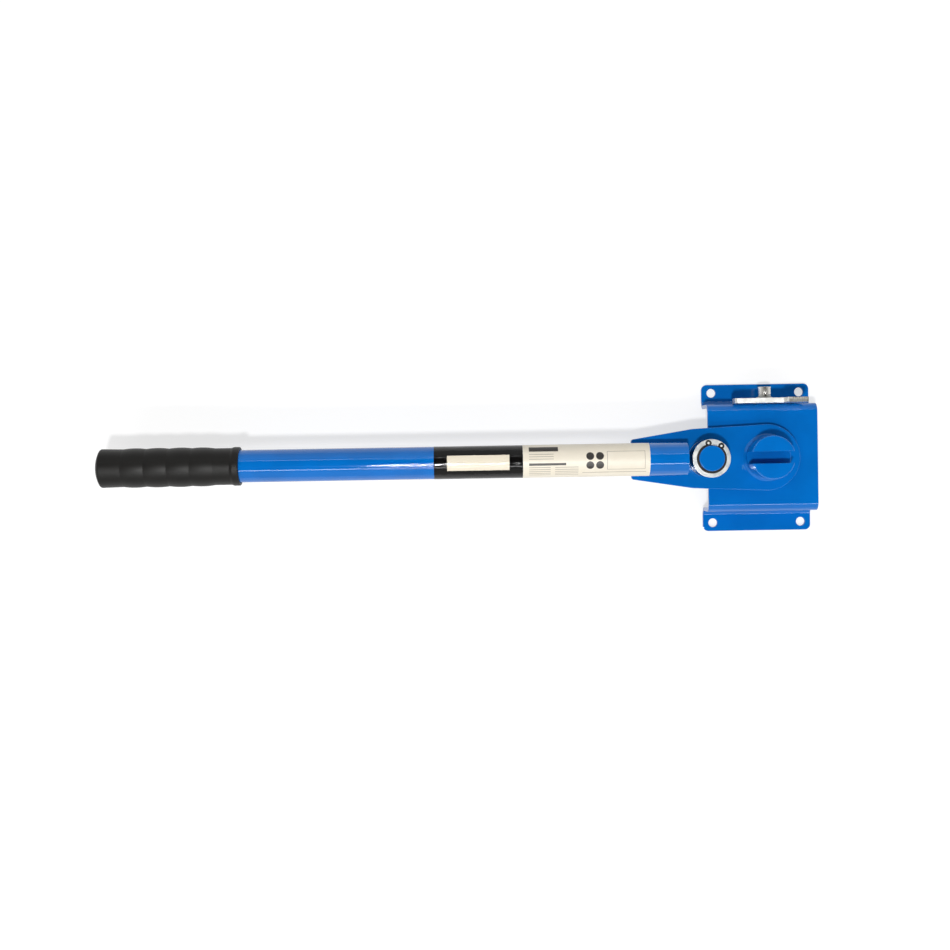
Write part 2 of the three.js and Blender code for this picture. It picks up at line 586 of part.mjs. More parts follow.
function stopScrew() {
  const head = SCREW_HEAD_DIAMETER / 2;
  const headTop = screwHeadFace + SCREW_HEAD_HEIGHT;
  const tip = nutInnerFace - SCREW_PAST_NUT;
  const body = turned(outline([
    [0, tip], [screwRadius - SCREW_HEAD_BEVEL, tip], [screwRadius, tip + SCREW_HEAD_BEVEL],
    [screwRadius, screwHeadFace], [head, screwHeadFace],
    [head, headTop - SCREW_HEAD_BEVEL], [head - SCREW_HEAD_BEVEL, headTop], [0, headTop],
  ]), SMALL_ROUND_STEPS);
  const socket = carried(hexagon(SCREW_SOCKET_ACROSS), SCREW_SOCKET_DEPTH + CUT_OVERRUN)
    .translate(0, 0, headTop - SCREW_SOCKET_DEPTH);
  return onStopScrew(cut(body, [socket]));
}

function stopFlatWasher() {
  const end = flatWasherFace + FLAT_WASHER_THICKNESS;
  const outer = FLAT_WASHER_DIAMETER / 2;
  return onStopScrew(ring(screwHoleRadius, outer, flatWasherFace, end, 0, SMALL_ROUND_STEPS));
}

// A ring that is cut through once, with the cut on the side away from the bench.
function stopSpringWasher() {
  const end = springWasherFace + SPRING_WASHER_THICKNESS;
  const outer = SPRING_WASHER_DIAMETER / 2;
  const whole = ring(screwHoleRadius, outer, springWasherFace, end, 0, SMALL_ROUND_STEPS);
  const split = new THREE.BoxGeometry(outer + CUT_OVERRUN, SPRING_WASHER_SPLIT, end)
    .translate((outer + CUT_OVERRUN) / 2, 0, springWasherFace);
  return onStopScrew(cut(whole, [split]));
}

// A hexagon nut: the prism is trimmed by a bevelled round blank, then bored.
function stopNut() {
  const corner = NUT_ACROSS_FLATS / Math.sqrt(3);
  const prism = carried(hexagon(NUT_ACROSS_FLATS), NUT_HEIGHT).translate(0, 0, nutInnerFace);
  const blank = ring(screwRadius + SEAT_GAP, corner, nutInnerFace, nutOuterFace, NUT_BEVEL, SMALL_ROUND_STEPS);
  return onStopScrew(geometryOf(solidOf(prism).intersect(solidOf(blank))));
}

function thrustWasher() {
  const bottom = BASE_HEIGHT + AXIAL_PLAY;
  return ring(hubBoreRadius, THRUST_WASHER_DIAMETER / 2, bottom, bottom + THRUST_WASHER_THICKNESS);
}

function pivotWasher() {
  const bottom = pivotWasherTop - PIVOT_WASHER_THICKNESS;
  return ring(hubBoreRadius, PIVOT_WASHER_DIAMETER / 2, bottom, pivotWasherTop);
}

function pivotCirclip() {
  return circlip(
    spigotRadius - PIVOT_GROOVE_DEPTH, PIVOT_CIRCLIP_WIDTH, PIVOT_CIRCLIP_THICKNESS,
    PIVOT_CIRCLIP_LUG_RADIUS, pivotCirclipBottom,
  );
}

function rollerCirclip() {
  return circlip(
    pinRadius - ROLLER_GROOVE_DEPTH, ROLLER_CIRCLIP_WIDTH, ROLLER_CIRCLIP_THICKNESS,
    ROLLER_CIRCLIP_LUG_RADIUS, rollerCirclipBottom,
  );
}

function rollerLowerWasher() {
  const top = lowerWasherBottom + ROLLER_LOWER_WASHER_THICKNESS;
  return ring(pinBoreRadius, ROLLER_DIAMETER / 2, lowerWasherBottom, top);
}

function rollerTopWasher() {
  const top = rollerWasherBottom + ROLLER_WASHER_THICKNESS;
  const outer = ROLLER_WASHER_DIAMETER / 2;
  return ring(pinBoreRadius, outer, rollerWasherBottom, top, ROLLER_WASHER_CHAMFER);
}

function bendingRoller() {
  const bore = bushOuterRadius + SEAT_GAP;
  return ring(bore, ROLLER_DIAMETER / 2, rollerBottom, rollerTop, ROLLER_CHAMFER);
}

function rollerBush() {
  return ring(pinBoreRadius, bushOuterRadius, rollerBottom, rollerTop);
}

function piece(name, geometry, finish) {
  const material = new THREE.MeshStandardMaterial({ ...finish, flatShading: true });
  const mesh = new THREE.Mesh(closedSurface(geometry), material);
  mesh.name = name;
  return mesh;
}

// The bolted base, with the pivot's hub and the stop's fasteners.
const base = new THREE.Group();
base.add(
  piece('base_channel', baseChannel(), bluePaint),
  piece('pivot_hub', pivotHub(), bluePaint),
  piece('hub_weld', weldRing(HUB_DIAMETER / 2, BASE_HEIGHT - SHEET_THICKNESS, HUB_WELD_LEG, false), bluePaint),
  piece('pivot_thrust_washer', thrustWasher(), bareSteel),
  piece('stop_screw', stopScrew(), zinc),
  piece('stop_spring_washer', stopSpringWasher(), zinc),
  piece('stop_flat_washer', stopFlatWasher(), zinc),
  piece('stop_nut', stopNut(), zinc),
);

// The stop turns about its screw when the screw is slack.
const stop = new THREE.Group();
stop.add(piece('stop_plate', stopPlate(), zinc));

// The roller and its bush turn about the pin, whose axis is this group's own.
const roller = new THREE.Group();
roller.add(
  piece('bending_roller', bendingRoller(), bareSteel),
  piece('roller_bush', rollerBush(), bronze),
);

// What stands on the lever at the roller's axis, drawn about that axis.
const pinStack = new THREE.Group();
pinStack.position.x = -ROLLER_FROM_PIVOT;
pinStack.add(
  piece('roller_pin', rollerPin(), bluePaint),
  piece('roller_pin_weld', rollerPinWeld(), bluePaint),
  piece('roller_lower_washer', rollerLowerWasher(), zinc),
  piece('roller_top_washer', rollerTopWasher(), zinc),
  piece('roller_circlip', rollerCirclip(), springSteel),
  roller,
);

// The lever: plate, post, tube and grip, and the washer and circlip that hold it down.
const lever = new THREE.Group();
lever.add(
  piece('lever_plate', leverPlate(), bluePaint),
  piece('bending_post', bendingPost(), bluePaint),
  piece('post_weld', weldRing(POST_DIAMETER / 2, leverTop, POST_WELD_LEG, true), bluePaint),
  piece('lever_tube', leverTube(), bluePaint),
  piece('tube_weld_front', tubeWeld(-1), bluePaint),
  piece('tube_weld_back', tubeWeld(1), bluePaint),
  piece('hand_grip', handGrip(), blackPlastic),
  piece('pivot_washer', pivotWasher(), zinc),
  piece('pivot_circlip', pivotCirclip(), springSteel),
  pinStack,
);

const rebarBender = new THREE.Group();
rebarBender.name = 'rebar_bender';
rebarBender.position.x = originShift;
rebarBender.add(base, stop, lever);

export default rebarBender;
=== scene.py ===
"""A bench rebar bender: smooth bevelled meshes, paint, zinc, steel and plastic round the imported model.

Metres, +Z up, with the handle along -X. Every piece stands where its CAD node stands.
"""
import itertools
import json
import math

import bpy
import numpy as np
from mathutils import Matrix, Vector
from mathutils.geometry import tessellate_polygon

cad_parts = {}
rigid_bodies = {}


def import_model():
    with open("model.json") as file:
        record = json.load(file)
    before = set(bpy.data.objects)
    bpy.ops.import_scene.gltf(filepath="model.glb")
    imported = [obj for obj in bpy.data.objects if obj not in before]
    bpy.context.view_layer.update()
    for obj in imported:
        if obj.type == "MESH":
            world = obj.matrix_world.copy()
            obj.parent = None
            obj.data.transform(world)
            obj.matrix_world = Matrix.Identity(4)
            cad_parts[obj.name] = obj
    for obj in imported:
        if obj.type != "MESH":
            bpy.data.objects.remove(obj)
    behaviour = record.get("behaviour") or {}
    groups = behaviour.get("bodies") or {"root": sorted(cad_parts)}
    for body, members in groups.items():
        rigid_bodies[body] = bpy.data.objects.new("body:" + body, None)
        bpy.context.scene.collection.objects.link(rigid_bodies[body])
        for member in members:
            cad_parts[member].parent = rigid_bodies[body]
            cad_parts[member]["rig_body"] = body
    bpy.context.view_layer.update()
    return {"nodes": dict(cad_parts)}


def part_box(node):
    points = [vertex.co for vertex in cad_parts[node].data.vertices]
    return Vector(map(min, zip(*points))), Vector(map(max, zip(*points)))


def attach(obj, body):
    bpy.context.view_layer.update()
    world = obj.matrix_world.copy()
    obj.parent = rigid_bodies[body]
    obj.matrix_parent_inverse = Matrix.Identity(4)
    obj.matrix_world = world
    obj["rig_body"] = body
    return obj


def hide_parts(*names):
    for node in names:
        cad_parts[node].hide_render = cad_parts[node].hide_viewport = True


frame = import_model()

MM = 0.001
DEGREE = math.pi / 180

# Camera, which looks nearly straight down as in the photograph
CAMERA_HEIGHT = 1400 * MM
CAMERA_FROM_PIVOT = -290.3 * MM
CAMERA_ACROSS = 5 * MM
CAMERA_LENS = 51.5
CAMERA_SENSOR = 36
CAMERA_ROLL = -0.97 * DEGREE
CAMERA_PITCH = -0.75 * DEGREE

# Light
FLOOR_SIZE = 12
FLOOR_WHITE_TO_LIGHT = 0.62
FLOOR_WHITE_TO_EYE = 0.45
FLOOR_GLOW = 0.6
SKY_HORIZON = 0.6
SKY_ZENITH = 0.04
SKY_FADE = (0.6, 0.88)
KEY_PLACE = (-0.1, -0.5, 2.35)
KEY_SIZE = 0.14
KEY_POWER = 30
STRIP_LENGTH = 3
STRIP_DISTANCE = 2.3
NEAR_STRIP_FROM_ZENITH = 32.3 * DEGREE
FAR_STRIP_FROM_ZENITH = 36 * DEGREE
NEAR_STRIP_WIDTH = 0.2
FAR_STRIP_WIDTH = 0.1
NEAR_STRIP_POWER = 18
FAR_STRIP_POWER = 4

# How finely curves are drawn
CHORD_ERROR = 0.008 * MM
LONGEST_ARC_STEP = 12 * DEGREE
EDGE_STEPS = 4
ROUND_STEPS = 144
SMALL_ROUND_STEPS = 96
CREASE_ANGLE = 50 * DEGREE
NUT_CREASE_ANGLE = 20 * DEGREE
SCREW_CREASE_ANGLE = 35 * DEGREE
WASHER_CREASE_ANGLE = 40 * DEGREE

# Folded base
SHEET = 4 * MM
BEND_RADIUS = 5 * MM
FLANGE_WIDTH = 21 * MM
FLANGE_CORNER_RADIUS = 5.5 * MM
BOLT_HOLE_RADIUS = 4.5 * MM
BOLT_HOLE_FROM_END = 10 * MM
BOLT_HOLE_FROM_EDGE = 8.5 * MM
SHEARED_EDGE = 0.5 * MM

# Post, its slot and its spigot
POST_RIM = 1.3 * MM
SPIGOT_RADIUS = 14 * MM
SPIGOT_GROOVE_DEPTH = 0.7 * MM
SPIGOT_CHAMFER = 1 * MM
GROOVE_GAP = 0.15 * MM
SLOT_WIDTH = 11.7 * MM
SLOT_DEPTH = 22 * MM
SLOT_EDGE = 0.7 * MM
TURNED_EDGE = 0.3 * MM
SMALL_EDGE = 0.1 * MM
BORE_GAP = 0.25 * MM

# Weld beads
WELD_POINTS = 11
RING_WELD_SCALE = 2.2 * MM
RING_WELD_FEWEST_SCALES = 24
RING_WELD_SCALE_SHARE = 0.035
RING_WELD_SCALE_BOW = 5
RING_WELD_WAVES = 3
RING_WELD_WAVE_SHARE = 0.05
RING_WELD_ROOT_SHARE = 0.02
RING_WELD_KNEE_SHARE = 0.45
TUBE_WELD_STEPS = 220
TUBE_WELD_SCALE = 2.4 * MM
TUBE_WELD_SCALE_BOW = 1.6 * MM
TUBE_WELD_SCALE_DEPTH = 0.16 * MM
TUBE_WELD_WAVE = 17 * MM
TUBE_WELD_WAVE_DEPTH = 0.2 * MM
TUBE_WELD_ROUND_END = 3 * MM
TUBE_WELD_TIP_SHARE = 0.02
TUBE_WELD_ROOT_ANGLE = 0.35
TUBE_WELD_TOP_ANGLE = math.pi / 3.4
TUBE_WELD_KNEE_INSET = 0.6 * MM
TUBE_WELD_KNEE_DROP = 1.2 * MM

# Lever plate
PLATE_ROUND_RADIUS = 33 * MM
PLATE_SHOULDER_FROM_PIVOT = 74 * MM
PLATE_SHOULDER_HALF_WIDTH = 29.5 * MM
PLATE_SHOULDER_RADIUS = 25 * MM
PLATE_TIP_HALF_WIDTH = 19.8 * MM
PLATE_TIP_RADIUS = 2.5 * MM
PLATE_EDGE = 0.7 * MM
PIN_FOOT_RADIUS = 10 * MM
PIN_WELD_LEG = 2.5 * MM
PIN_WELD_RISE = 0.25 * MM

# Tube and grip
TUBE_WALL = 2 * MM
TUBE_EDGE = 0.4 * MM
GRIP_WALL_GAP = 0.3 * MM
GRIP_END_WALL = 6.5 * MM
GRIP_DOME_RADIUS = 34 * MM
GRIP_END_SHOULDER = 4.9 * MM
GRIP_END_RADIUS = 2.5 * MM
GRIP_END_DIAMETER = 38.2 * MM
GRIP_PLAIN_LENGTH = 27 * MM
GRIP_GROOVE_DIAMETER = 37.1 * MM
GRIP_BULGE_COUNT = 4
GRIP_BULGE_PITCH = 22.4 * MM
GRIP_BULGE_RISE = 0.84 * MM
GRIP_BULGE_ARC_SHARE = 0.97
GRIP_NECK_DIAMETER = 36.2 * MM
GRIP_NECK_LENGTH = 16.5 * MM
GRIP_COLLAR_DIAMETER = 38.1 * MM
GRIP_COLLAR_RAMP = 2.5 * MM
GRIP_COLLAR_LENGTH = 6 * MM
GRIP_PLAIN_FILLET = 1 * MM
GRIP_GROOVE_FILLET = 0.4 * MM
GRIP_NECK_FILLET = 3 * MM
GRIP_COLLAR_FILLET = 2 * MM
GRIP_MOUTH_FILLET = 1.2 * MM
GRIP_BORE_FILLET = 0.5 * MM

# Coarse paint and label films on the tube, measured back from the pivot
COARSE_PAINT_START = 350 * MM
COARSE_PAINT_END = 240 * MM
COARSE_PAINT_FADE = 70 * MM
BLACK_FILM = (330.5 * MM, 243.8 * MM)
CREAM_FILM = (243.8 * MM, 120 * MM)
FILM_THICKNESS = 0.12 * MM
FILM_LIFT = 0.06 * MM
FILM_HALF_WRAP = 128 * DEGREE
FILM_END_INSET = 0.04 * MM
FILM_STEPS_ALONG = 181
FILM_STEPS_ROUND = 121
WRINKLE_DEPTH = 0.03 * MM
SHORT_WRINKLE = 7 * MM
SHORT_WRINKLE_SKEW = 2
LONG_WRINKLE = 19 * MM
LONG_WRINKLE_SKEW = 3.1

# What is printed on the films, as (start, end) along the tube and (low, high) round it from its top
PRINT_EDGE = 0.12 * MM
BLACK_FILM_BAND = ((-317.5 * MM, -257 * MM), (-8.2 * MM, 6.9 * MM))
CREAM_FILM_BAR = ((-237.8 * MM, -209.5 * MM), (10 * MM, 16 * MM))
CREAM_FILM_TITLE = ((-237.8 * MM, -202 * MM), (-4.2 * MM, -2 * MM))
CREAM_FILM_RULES = (
    ((-237.8 * MM, -214 * MM), (6.6 * MM, 7 * MM)), ((-237.8 * MM, -214 * MM), (4.2 * MM, 4.6 * MM)),
    ((-237.8 * MM, -214 * MM), (1.8 * MM, 2.2 * MM)), ((-186 * MM, -124 * MM), (-13 * MM, -12.5 * MM)),
)
CREAM_FILM_COLUMNS = ((-237.8 * MM, -217 * MM), (-212.5 * MM, -190 * MM))
CREAM_FILM_COLUMN_TOP = -6 * MM
CREAM_FILM_COLUMN_PITCH = 2.3 * MM
CREAM_FILM_COLUMN_LINES = 5
CREAM_FILM_LINE = 0.45 * MM
CREAM_FILM_SPOTS_ALONG = (-178.5 * MM, -169 * MM)
CREAM_FILM_SPOTS_AROUND = (4.3 * MM, -4.7 * MM)
CREAM_FILM_SPOT_RADIUS = 3.8 * MM
CREAM_FILM_FRAME = ((-162 * MM, -125 * MM), (-9.5 * MM, 9 * MM))

# Roller and circlips
BUSH_WALL = 2 * MM
PIN_GROOVE_DEPTH = 0.55 * MM
PIN_CHAMFER = 1 * MM
ROLLER_WASHER_EDGE = 0.4 * MM
ROLLER_CIRCLIP_WIDTH = 2.5 * MM
ROLLER_CIRCLIP_LUG = 3 * MM
PIVOT_CIRCLIP_WIDTH = 2.6 * MM
PIVOT_CIRCLIP_LUG = 3 * MM
CIRCLIP_EYE = 1.2 * MM
CIRCLIP_LUG_ANGLES = (52 * DEGREE, 102 * DEGREE)
CIRCLIP_SHIFT = 0.3 * MM
CIRCLIP_EDGE = 0.15 * MM

# Stop plate, drawn from its screw
STOP_BOSS_RADIUS = 13 * MM
STOP_HANDLE_REACH = 34.4 * MM
STOP_HANDLE_TOP = 27 * MM
STOP_HANDLE_FOOT = 9 * MM
STOP_LUG_FACE = 14.5 * MM
STOP_LUG_FOOT = 30 * MM
STOP_LUG_TOP = 42 * MM
STOP_LUG_REACH = 35.8 * MM
STOP_LUG_LOWER_CORNER = 14 * MM
STOP_CORNER_RADIUS = 3 * MM
STOP_EDGE = 0.35 * MM

# Screw, washers and nut
SCREW_RADIUS = 4 * MM
SCREW_HOLE_RADIUS = 4.3 * MM
SCREW_HEAD_HEIGHT = 8 * MM
SCREW_HEAD_EDGE = 0.6 * MM
SCREW_SOCKET_ACROSS = 6 * MM
SCREW_SOCKET_DEPTH = 4 * MM
KNURL_TEETH = 56
KNURL_DEPTH = 0.06 * MM
KNURL_STEPS = 8
THREAD_PITCH = 1.25 * MM
THREAD_DEPTH = 0.6 * MM
THREAD_STEPS_ALONG = 8
THREAD_STEPS_ROUND = 48
NUT_ACROSS = 13 * MM
NUT_BEVEL = 0.8 * MM
NUT_BEVEL_STEPS = 7
NUT_BEVEL_SLOPE_SHARE = 0.6
SPRING_WASHER_SPLIT = 14 * DEGREE
SPRING_WASHER_LIFT = 0.3 * MM

# Paint: how wide its patterns are, and how deep its relief
PAINT_CLOUD = 38 * MM
PAINT_SPECK = 1.1 * MM
PAINT_DULL_PATCH = 14 * MM
PAINT_PEEL = 1.6 * MM
PAINT_COARSE_PEEL = 1.2 * MM
PAINT_RIPPLE = 4.5 * MM
PAINT_RELIEF = 0.03 * MM

# Zinc, steel and bronze, in the same way
ZINC_CLOUD = 6 * MM
ZINC_SPECK = 0.7 * MM
ZINC_GRAIN = 0.35 * MM
ZINC_RELIEF = 0.02 * MM
TURNED_ZINC_CLOUD = 7 * MM
TURNED_ZINC_RING = 0.35 * MM
TURNED_ZINC_RELIEF = 0.03 * MM
SHEARED_ZINC_CLOUD = 7 * MM
SHEARED_ZINC_WAVE = 2.6 * MM
SHEARED_ZINC_RIDGE = 0.9 * MM
SHEARED_ZINC_RELIEF = 0.05 * MM
SHEARED_ZINC_EDGE = 0.5 * MM
SHEARED_ZINC_FADE = 0.4 * MM
STEEL_RING = 0.45 * MM
STEEL_OIL_PATCH = 9 * MM
STEEL_GRAIN = 0.4 * MM
STEEL_RELIEF = 0.01 * MM
OXIDE_RUB = 1.6 * MM
OXIDE_GRAIN = 0.5 * MM
OXIDE_RELIEF = 0.012 * MM
BRONZE_GRAIN = 0.5 * MM
BRONZE_RELIEF = 0.012 * MM

# Grip plastic and label films, in the same way
PLASTIC_CLOUD = 16 * MM
PLASTIC_DUST = 1.4 * MM
PLASTIC_GRAIN = 0.9 * MM
PLASTIC_RIPPLE = 3.2 * MM
PLASTIC_RELIEF = 0.05 * MM
BLACK_FILM_SCUFF = 2.2 * MM
BLACK_FILM_PATCH = 11 * MM
BLACK_FILM_WRINKLE = 2.6 * MM
BLACK_FILM_DENT = 1.3 * MM
BLACK_FILM_SWELL = 9 * MM
BLACK_FILM_RELIEF = 0.05 * MM
CREAM_FILM_FIBRE = 1.2 * MM
CREAM_FILM_CLOUD = 11 * MM
CREAM_FILM_SWELL = 6 * MM
CREAM_FILM_RELIEF = 0.08 * MM

# Colours as a screen shows them, in pairs where a surface varies between two shades
BLUE_SHADES = ((0, 103, 186), (0, 108, 194))
BLUE_SPECK = (40, 132, 212)
ZINC_SHADES = ((184, 185, 180), (214, 214, 209))
ZINC_DULL_SPECK = (140, 136, 126)
# Painted light: the screw's zinc shades are lighter than the other zinc's. They stand in for more light on
# its head.
SCREW_ZINC_PAINTED_LIGHT_SHADES = ((226, 224, 217), (244, 243, 238))
TURNED_ZINC_SHADES = ((216, 221, 223), (246, 246, 242))
SHEARED_ZINC_SHADES = ((226, 225, 220), (246, 246, 243))
TORN_ZINC_SHADES = ((150, 152, 150), (186, 184, 176))
TORN_ZINC_RIDGE = (112, 106, 98)
STEEL_SHADES = ((74, 76, 80), (112, 112, 112))
OXIDE_SHADES = ((32, 30, 28), (72, 66, 58))
BRONZE_SHADES = ((150, 112, 62), (206, 166, 104))
PLASTIC_SHADES = ((16, 15, 13), (22, 21, 19))
PLASTIC_DUSTY = (62, 60, 57)
BLACK_FILM_SHADES = ((12, 11, 11), (60, 58, 56))
BLACK_FILM_BAND_COLOUR = (232, 222, 202)
CREAM_FILM_SHADES = ((229, 220, 202), (238, 231, 215))
CREAM_FILM_FIBRE_COLOUR = (196, 185, 164)
CREAM_FILM_GREY_PRINT = (116, 110, 100)
CREAM_FILM_DARK_PRINT = (50, 47, 44)


def heading_of(start, end):
    return math.atan2(end[1] - start[1], end[0] - start[0])


def arc(centre, radius, start, end, side):
    """An arc drawn by its heading: the centre plus side times radius times the right-hand normal."""
    finest = 2 * math.acos(1 - min(CHORD_ERROR / radius, 1))
    steps = max(2, math.ceil(abs(end - start) / min(finest, LONGEST_ARC_STEP)))
    heading = np.linspace(start, end, steps + 1)
    normals = np.stack((np.sin(heading), -np.cos(heading)), axis=1)
    return np.array(centre) + side * radius * normals, normals


def circle(radius, centre=(0, 0), side=1):
    """A whole circle, anticlockwise for a rim (side 1) and clockwise for a hole (side -1)."""
    points, normals = arc(centre, radius, 0, side * 2 * math.pi, side)
    return points[:-1], normals[:-1]


def touch(point, centre, radius, side):
    """Where the line from a point touches a circle that lies to its left (side 1) or its right (side -1)."""
    reach = math.dist(point, centre)
    angle = heading_of(point, centre) - side * math.asin(radius / reach)
    length = math.sqrt(reach ** 2 - radius ** 2)
    return point[0] + length * math.cos(angle), point[1] + length * math.sin(angle)


def outline(corners, closed=True):
    """Points and right-hand normals along rounded corners, anticlockwise.

    A corner is (x, y, radius), and (x, y, radius, "round") goes round the circle about that point. An open
    outline ends square to its first and last straight stretch.
    """
    count = len(corners)

    def leave(i):
        here, ahead = corners[i % count], corners[(i + 1) % count]
        return touch(ahead[:2], here[:2], here[2], -1) if len(here) == 4 else here[:2]

    def enter(i):
        here, back = corners[i % count], corners[(i - 1) % count]
        return touch(back[:2], here[:2], here[2], 1) if len(here) == 4 else here[:2]

    stretches = []
    for i, corner in enumerate(corners):
        coming = heading_of(leave(i - 1), enter(i))
        going = heading_of(leave(i), enter(i + 1))
        if not closed and i in (0, count - 1):
            heading = going if i == 0 else coming
            normal = np.array([[math.sin(heading), -math.cos(heading)]])
            stretches.append((np.array([corner[:2]]), normal))
            continue
        if len(corner) == 4:
            turn = (going - coming) % (2 * math.pi)
            stretches.append(arc(corner[:2], corner[2], coming, coming + turn, 1))
            continue
        turn = (going - coming + math.pi) % (2 * math.pi) - math.pi
        side = math.copysign(1, turn)
        radius = corner[2]
        back = radius * math.tan(abs(turn) / 2)
        centre = (
            corner[0] - back * math.cos(coming) - side * radius * math.sin(coming),
            corner[1] - back * math.sin(coming) + side * radius * math.cos(coming),
        )
        stretches.append(arc(centre, radius, coming, coming + turn, side))
    points, normals = zip(*stretches)
    return np.concatenate(points), np.concatenate(normals)


def flat(origin, u_axis, v_axis):
    """Lays a drawing on a plane: the origin plus u and v along two axes."""
    u_axis, v_axis = np.array(u_axis, float), np.array(v_axis, float)
    normal = np.cross(u_axis, v_axis)

    def place(uv):
        return origin + uv[..., :1] * u_axis + uv[..., 1:] * v_axis, u_axis, v_axis, normal

    return place


def plate(loops, thickness, edge, place, bands=((-math.inf, math.inf),)):
    """A sheet of even thickness, given by loops in its own u and v.

    Each loop carries a rounded edge: a quarter turn of the edge's radius, a straight side, a quarter turn.
    The two skins are filled between the loops, band by band where the sheet is folded.
    """
    turn = np.linspace(math.pi / 2, 0, EDGE_STEPS + 1)
    half_side = np.repeat((thickness / 2 - edge, edge - thickness / 2), len(turn))
    turn = np.concatenate((turn, -turn[::-1]))
    outwards = edge * (np.cos(turn) - 1)
    upwards = edge * np.sin(turn) + half_side
    points, normals, faces, skins = [], [], [], []
    count = 0
    for line, side in loops:
        uv = line + outwards[:, None, None] * side
        spot, u_axis, v_axis, up = place(uv)
        level = side[None, :, :1] * u_axis + side[None, :, 1:] * v_axis
        facing = level * np.cos(turn)[:, None, None] + up * np.sin(turn)[:, None, None]
        points.append((spot + up * upwards[:, None, None]).reshape(-1, 3))
        normals.append(facing.reshape(-1, 3))
        index = count + np.arange(len(turn) * len(line)).reshape(len(turn), -1)
        ahead = np.roll(index, -1, axis=1)
        faces.append(np.stack((index[:-1], index[1:], ahead[1:], ahead[:-1]), axis=-1).reshape(-1, 4))
        skins.append((line[:, 1], uv[0], index[0], index[-1]))
        count += index.size
    faces = [face for stretch in faces for face in stretch.tolist()]
    for low, high in bands:
        rings = []
        for order, (v, uv, top, bottom) in enumerate(skins):
            inside = (v > low - CHORD_ERROR) & (v < high + CHORD_ERROR)
            if order == 0 or low < v.mean() < high:
                rings.append((uv[inside], top[inside], bottom[inside]))
        flat_points = np.concatenate([ring[0] for ring in rings])
        top = np.concatenate([ring[1] for ring in rings])
        bottom = np.concatenate([ring[2] for ring in rings])
        for a, b, c in tessellate_polygon([[Vector((*p, 0)) for p in ring[0]] for ring in rings]):
            first, second = flat_points[b] - flat_points[a], flat_points[c] - flat_points[a]
            if first[0] * second[1] < first[1] * second[0]:
                b, c = c, b
            faces.append([int(top[a]), int(top[b]), int(top[c])])
            faces.append([int(bottom[a]), int(bottom[c]), int(bottom[b])])
    return np.concatenate(points), faces, np.concatenate(normals)


def across(axis):
    """Two axes square to an axis, so that first, second and axis are right-handed."""
    axis = np.array(axis, float)
    first = np.array((0.0, 0, 1)) if abs(axis[2]) < 0.5 else np.array((1.0, 0, 0))
    return first, np.cross(axis, first), axis


def grid_faces(rows, columns, close_rows):
    """Quads over a grid of rows that are closed rings of columns, and closed the other way if asked."""
    index = np.arange(rows * columns).reshape(rows, columns)
    below, above = (index, np.roll(index, -1, axis=0)) if close_rows else (index[:-1], index[1:])
    return np.stack(
        (below, np.roll(below, -1, axis=1), np.roll(above, -1, axis=1), above), axis=-1).reshape(-1, 4)


def turned(profile, centre, axis=(0, 0, 1), closed=True, steps=ROUND_STEPS, wave=None):
    """A profile of (radius, height) turned about an axis. wave(angle, height) is added to the radius."""
    line, side = profile
    first, second, axis = across(axis)
    angle = np.linspace(0, 2 * math.pi, steps, endpoint=False)
    spoke = np.cos(angle)[:, None] * first + np.sin(angle)[:, None] * second
    radius = np.repeat(line[:, :1], steps, axis=1)
    if wave is not None:
        radius = radius + wave(angle[None, :], line[:, 1:])
    points = centre + radius[..., None] * spoke + line[:, None, 1:] * axis
    normals = side[:, None, :1] * spoke + side[:, None, 1:] * axis
    faces = grid_faces(len(line), steps, closed)
    on_axis = np.flatnonzero(line[:, 0] < CHORD_ERROR / 10)
    target = np.arange(len(line) * steps)
    for row in on_axis:
        target[row * steps:(row + 1) * steps] = row * steps
    return points.reshape(-1, 3), target[faces].tolist(), None if wave else normals.reshape(-1, 3)


def ring_profile(inner, outer, bottom, top, edge=TURNED_EDGE):
    corners = [(inner, bottom, edge), (outer, bottom, edge), (outer, top, edge), (inner, top, edge)]
    return outline(corners)


def swept(section, spots, outs, ups, closed=False):
    """A closed section of (out, up) points, one section per spot, carried through the spots."""
    points = spots[:, None] + section[..., :1] * outs[:, None] + section[..., 1:] * ups[:, None]
    rows, columns = section.shape[:2]
    faces = grid_faces(rows, columns, closed).tolist()
    if not closed:
        faces.append(list(range(columns))[::-1])
        faces.append(list(range((rows - 1) * columns, rows * columns)))
    return points.reshape(-1, 3), faces, None


class Term:
    """A number that varies over a surface. Arithmetic on it adds Math nodes."""

    def __init__(self, finish, socket):
        self.finish = finish
        self.socket = socket

    def __add__(self, other):
        return self.finish.math("ADD", self, other)

    __radd__ = __add__

    def __mul__(self, other):
        return self.finish.math("MULTIPLY", self, other)

    __rmul__ = __mul__

    def __sub__(self, other):
        return self.finish.math("SUBTRACT", self, other)

    def __rsub__(self, other):
        return self.finish.math("SUBTRACT", other, self)


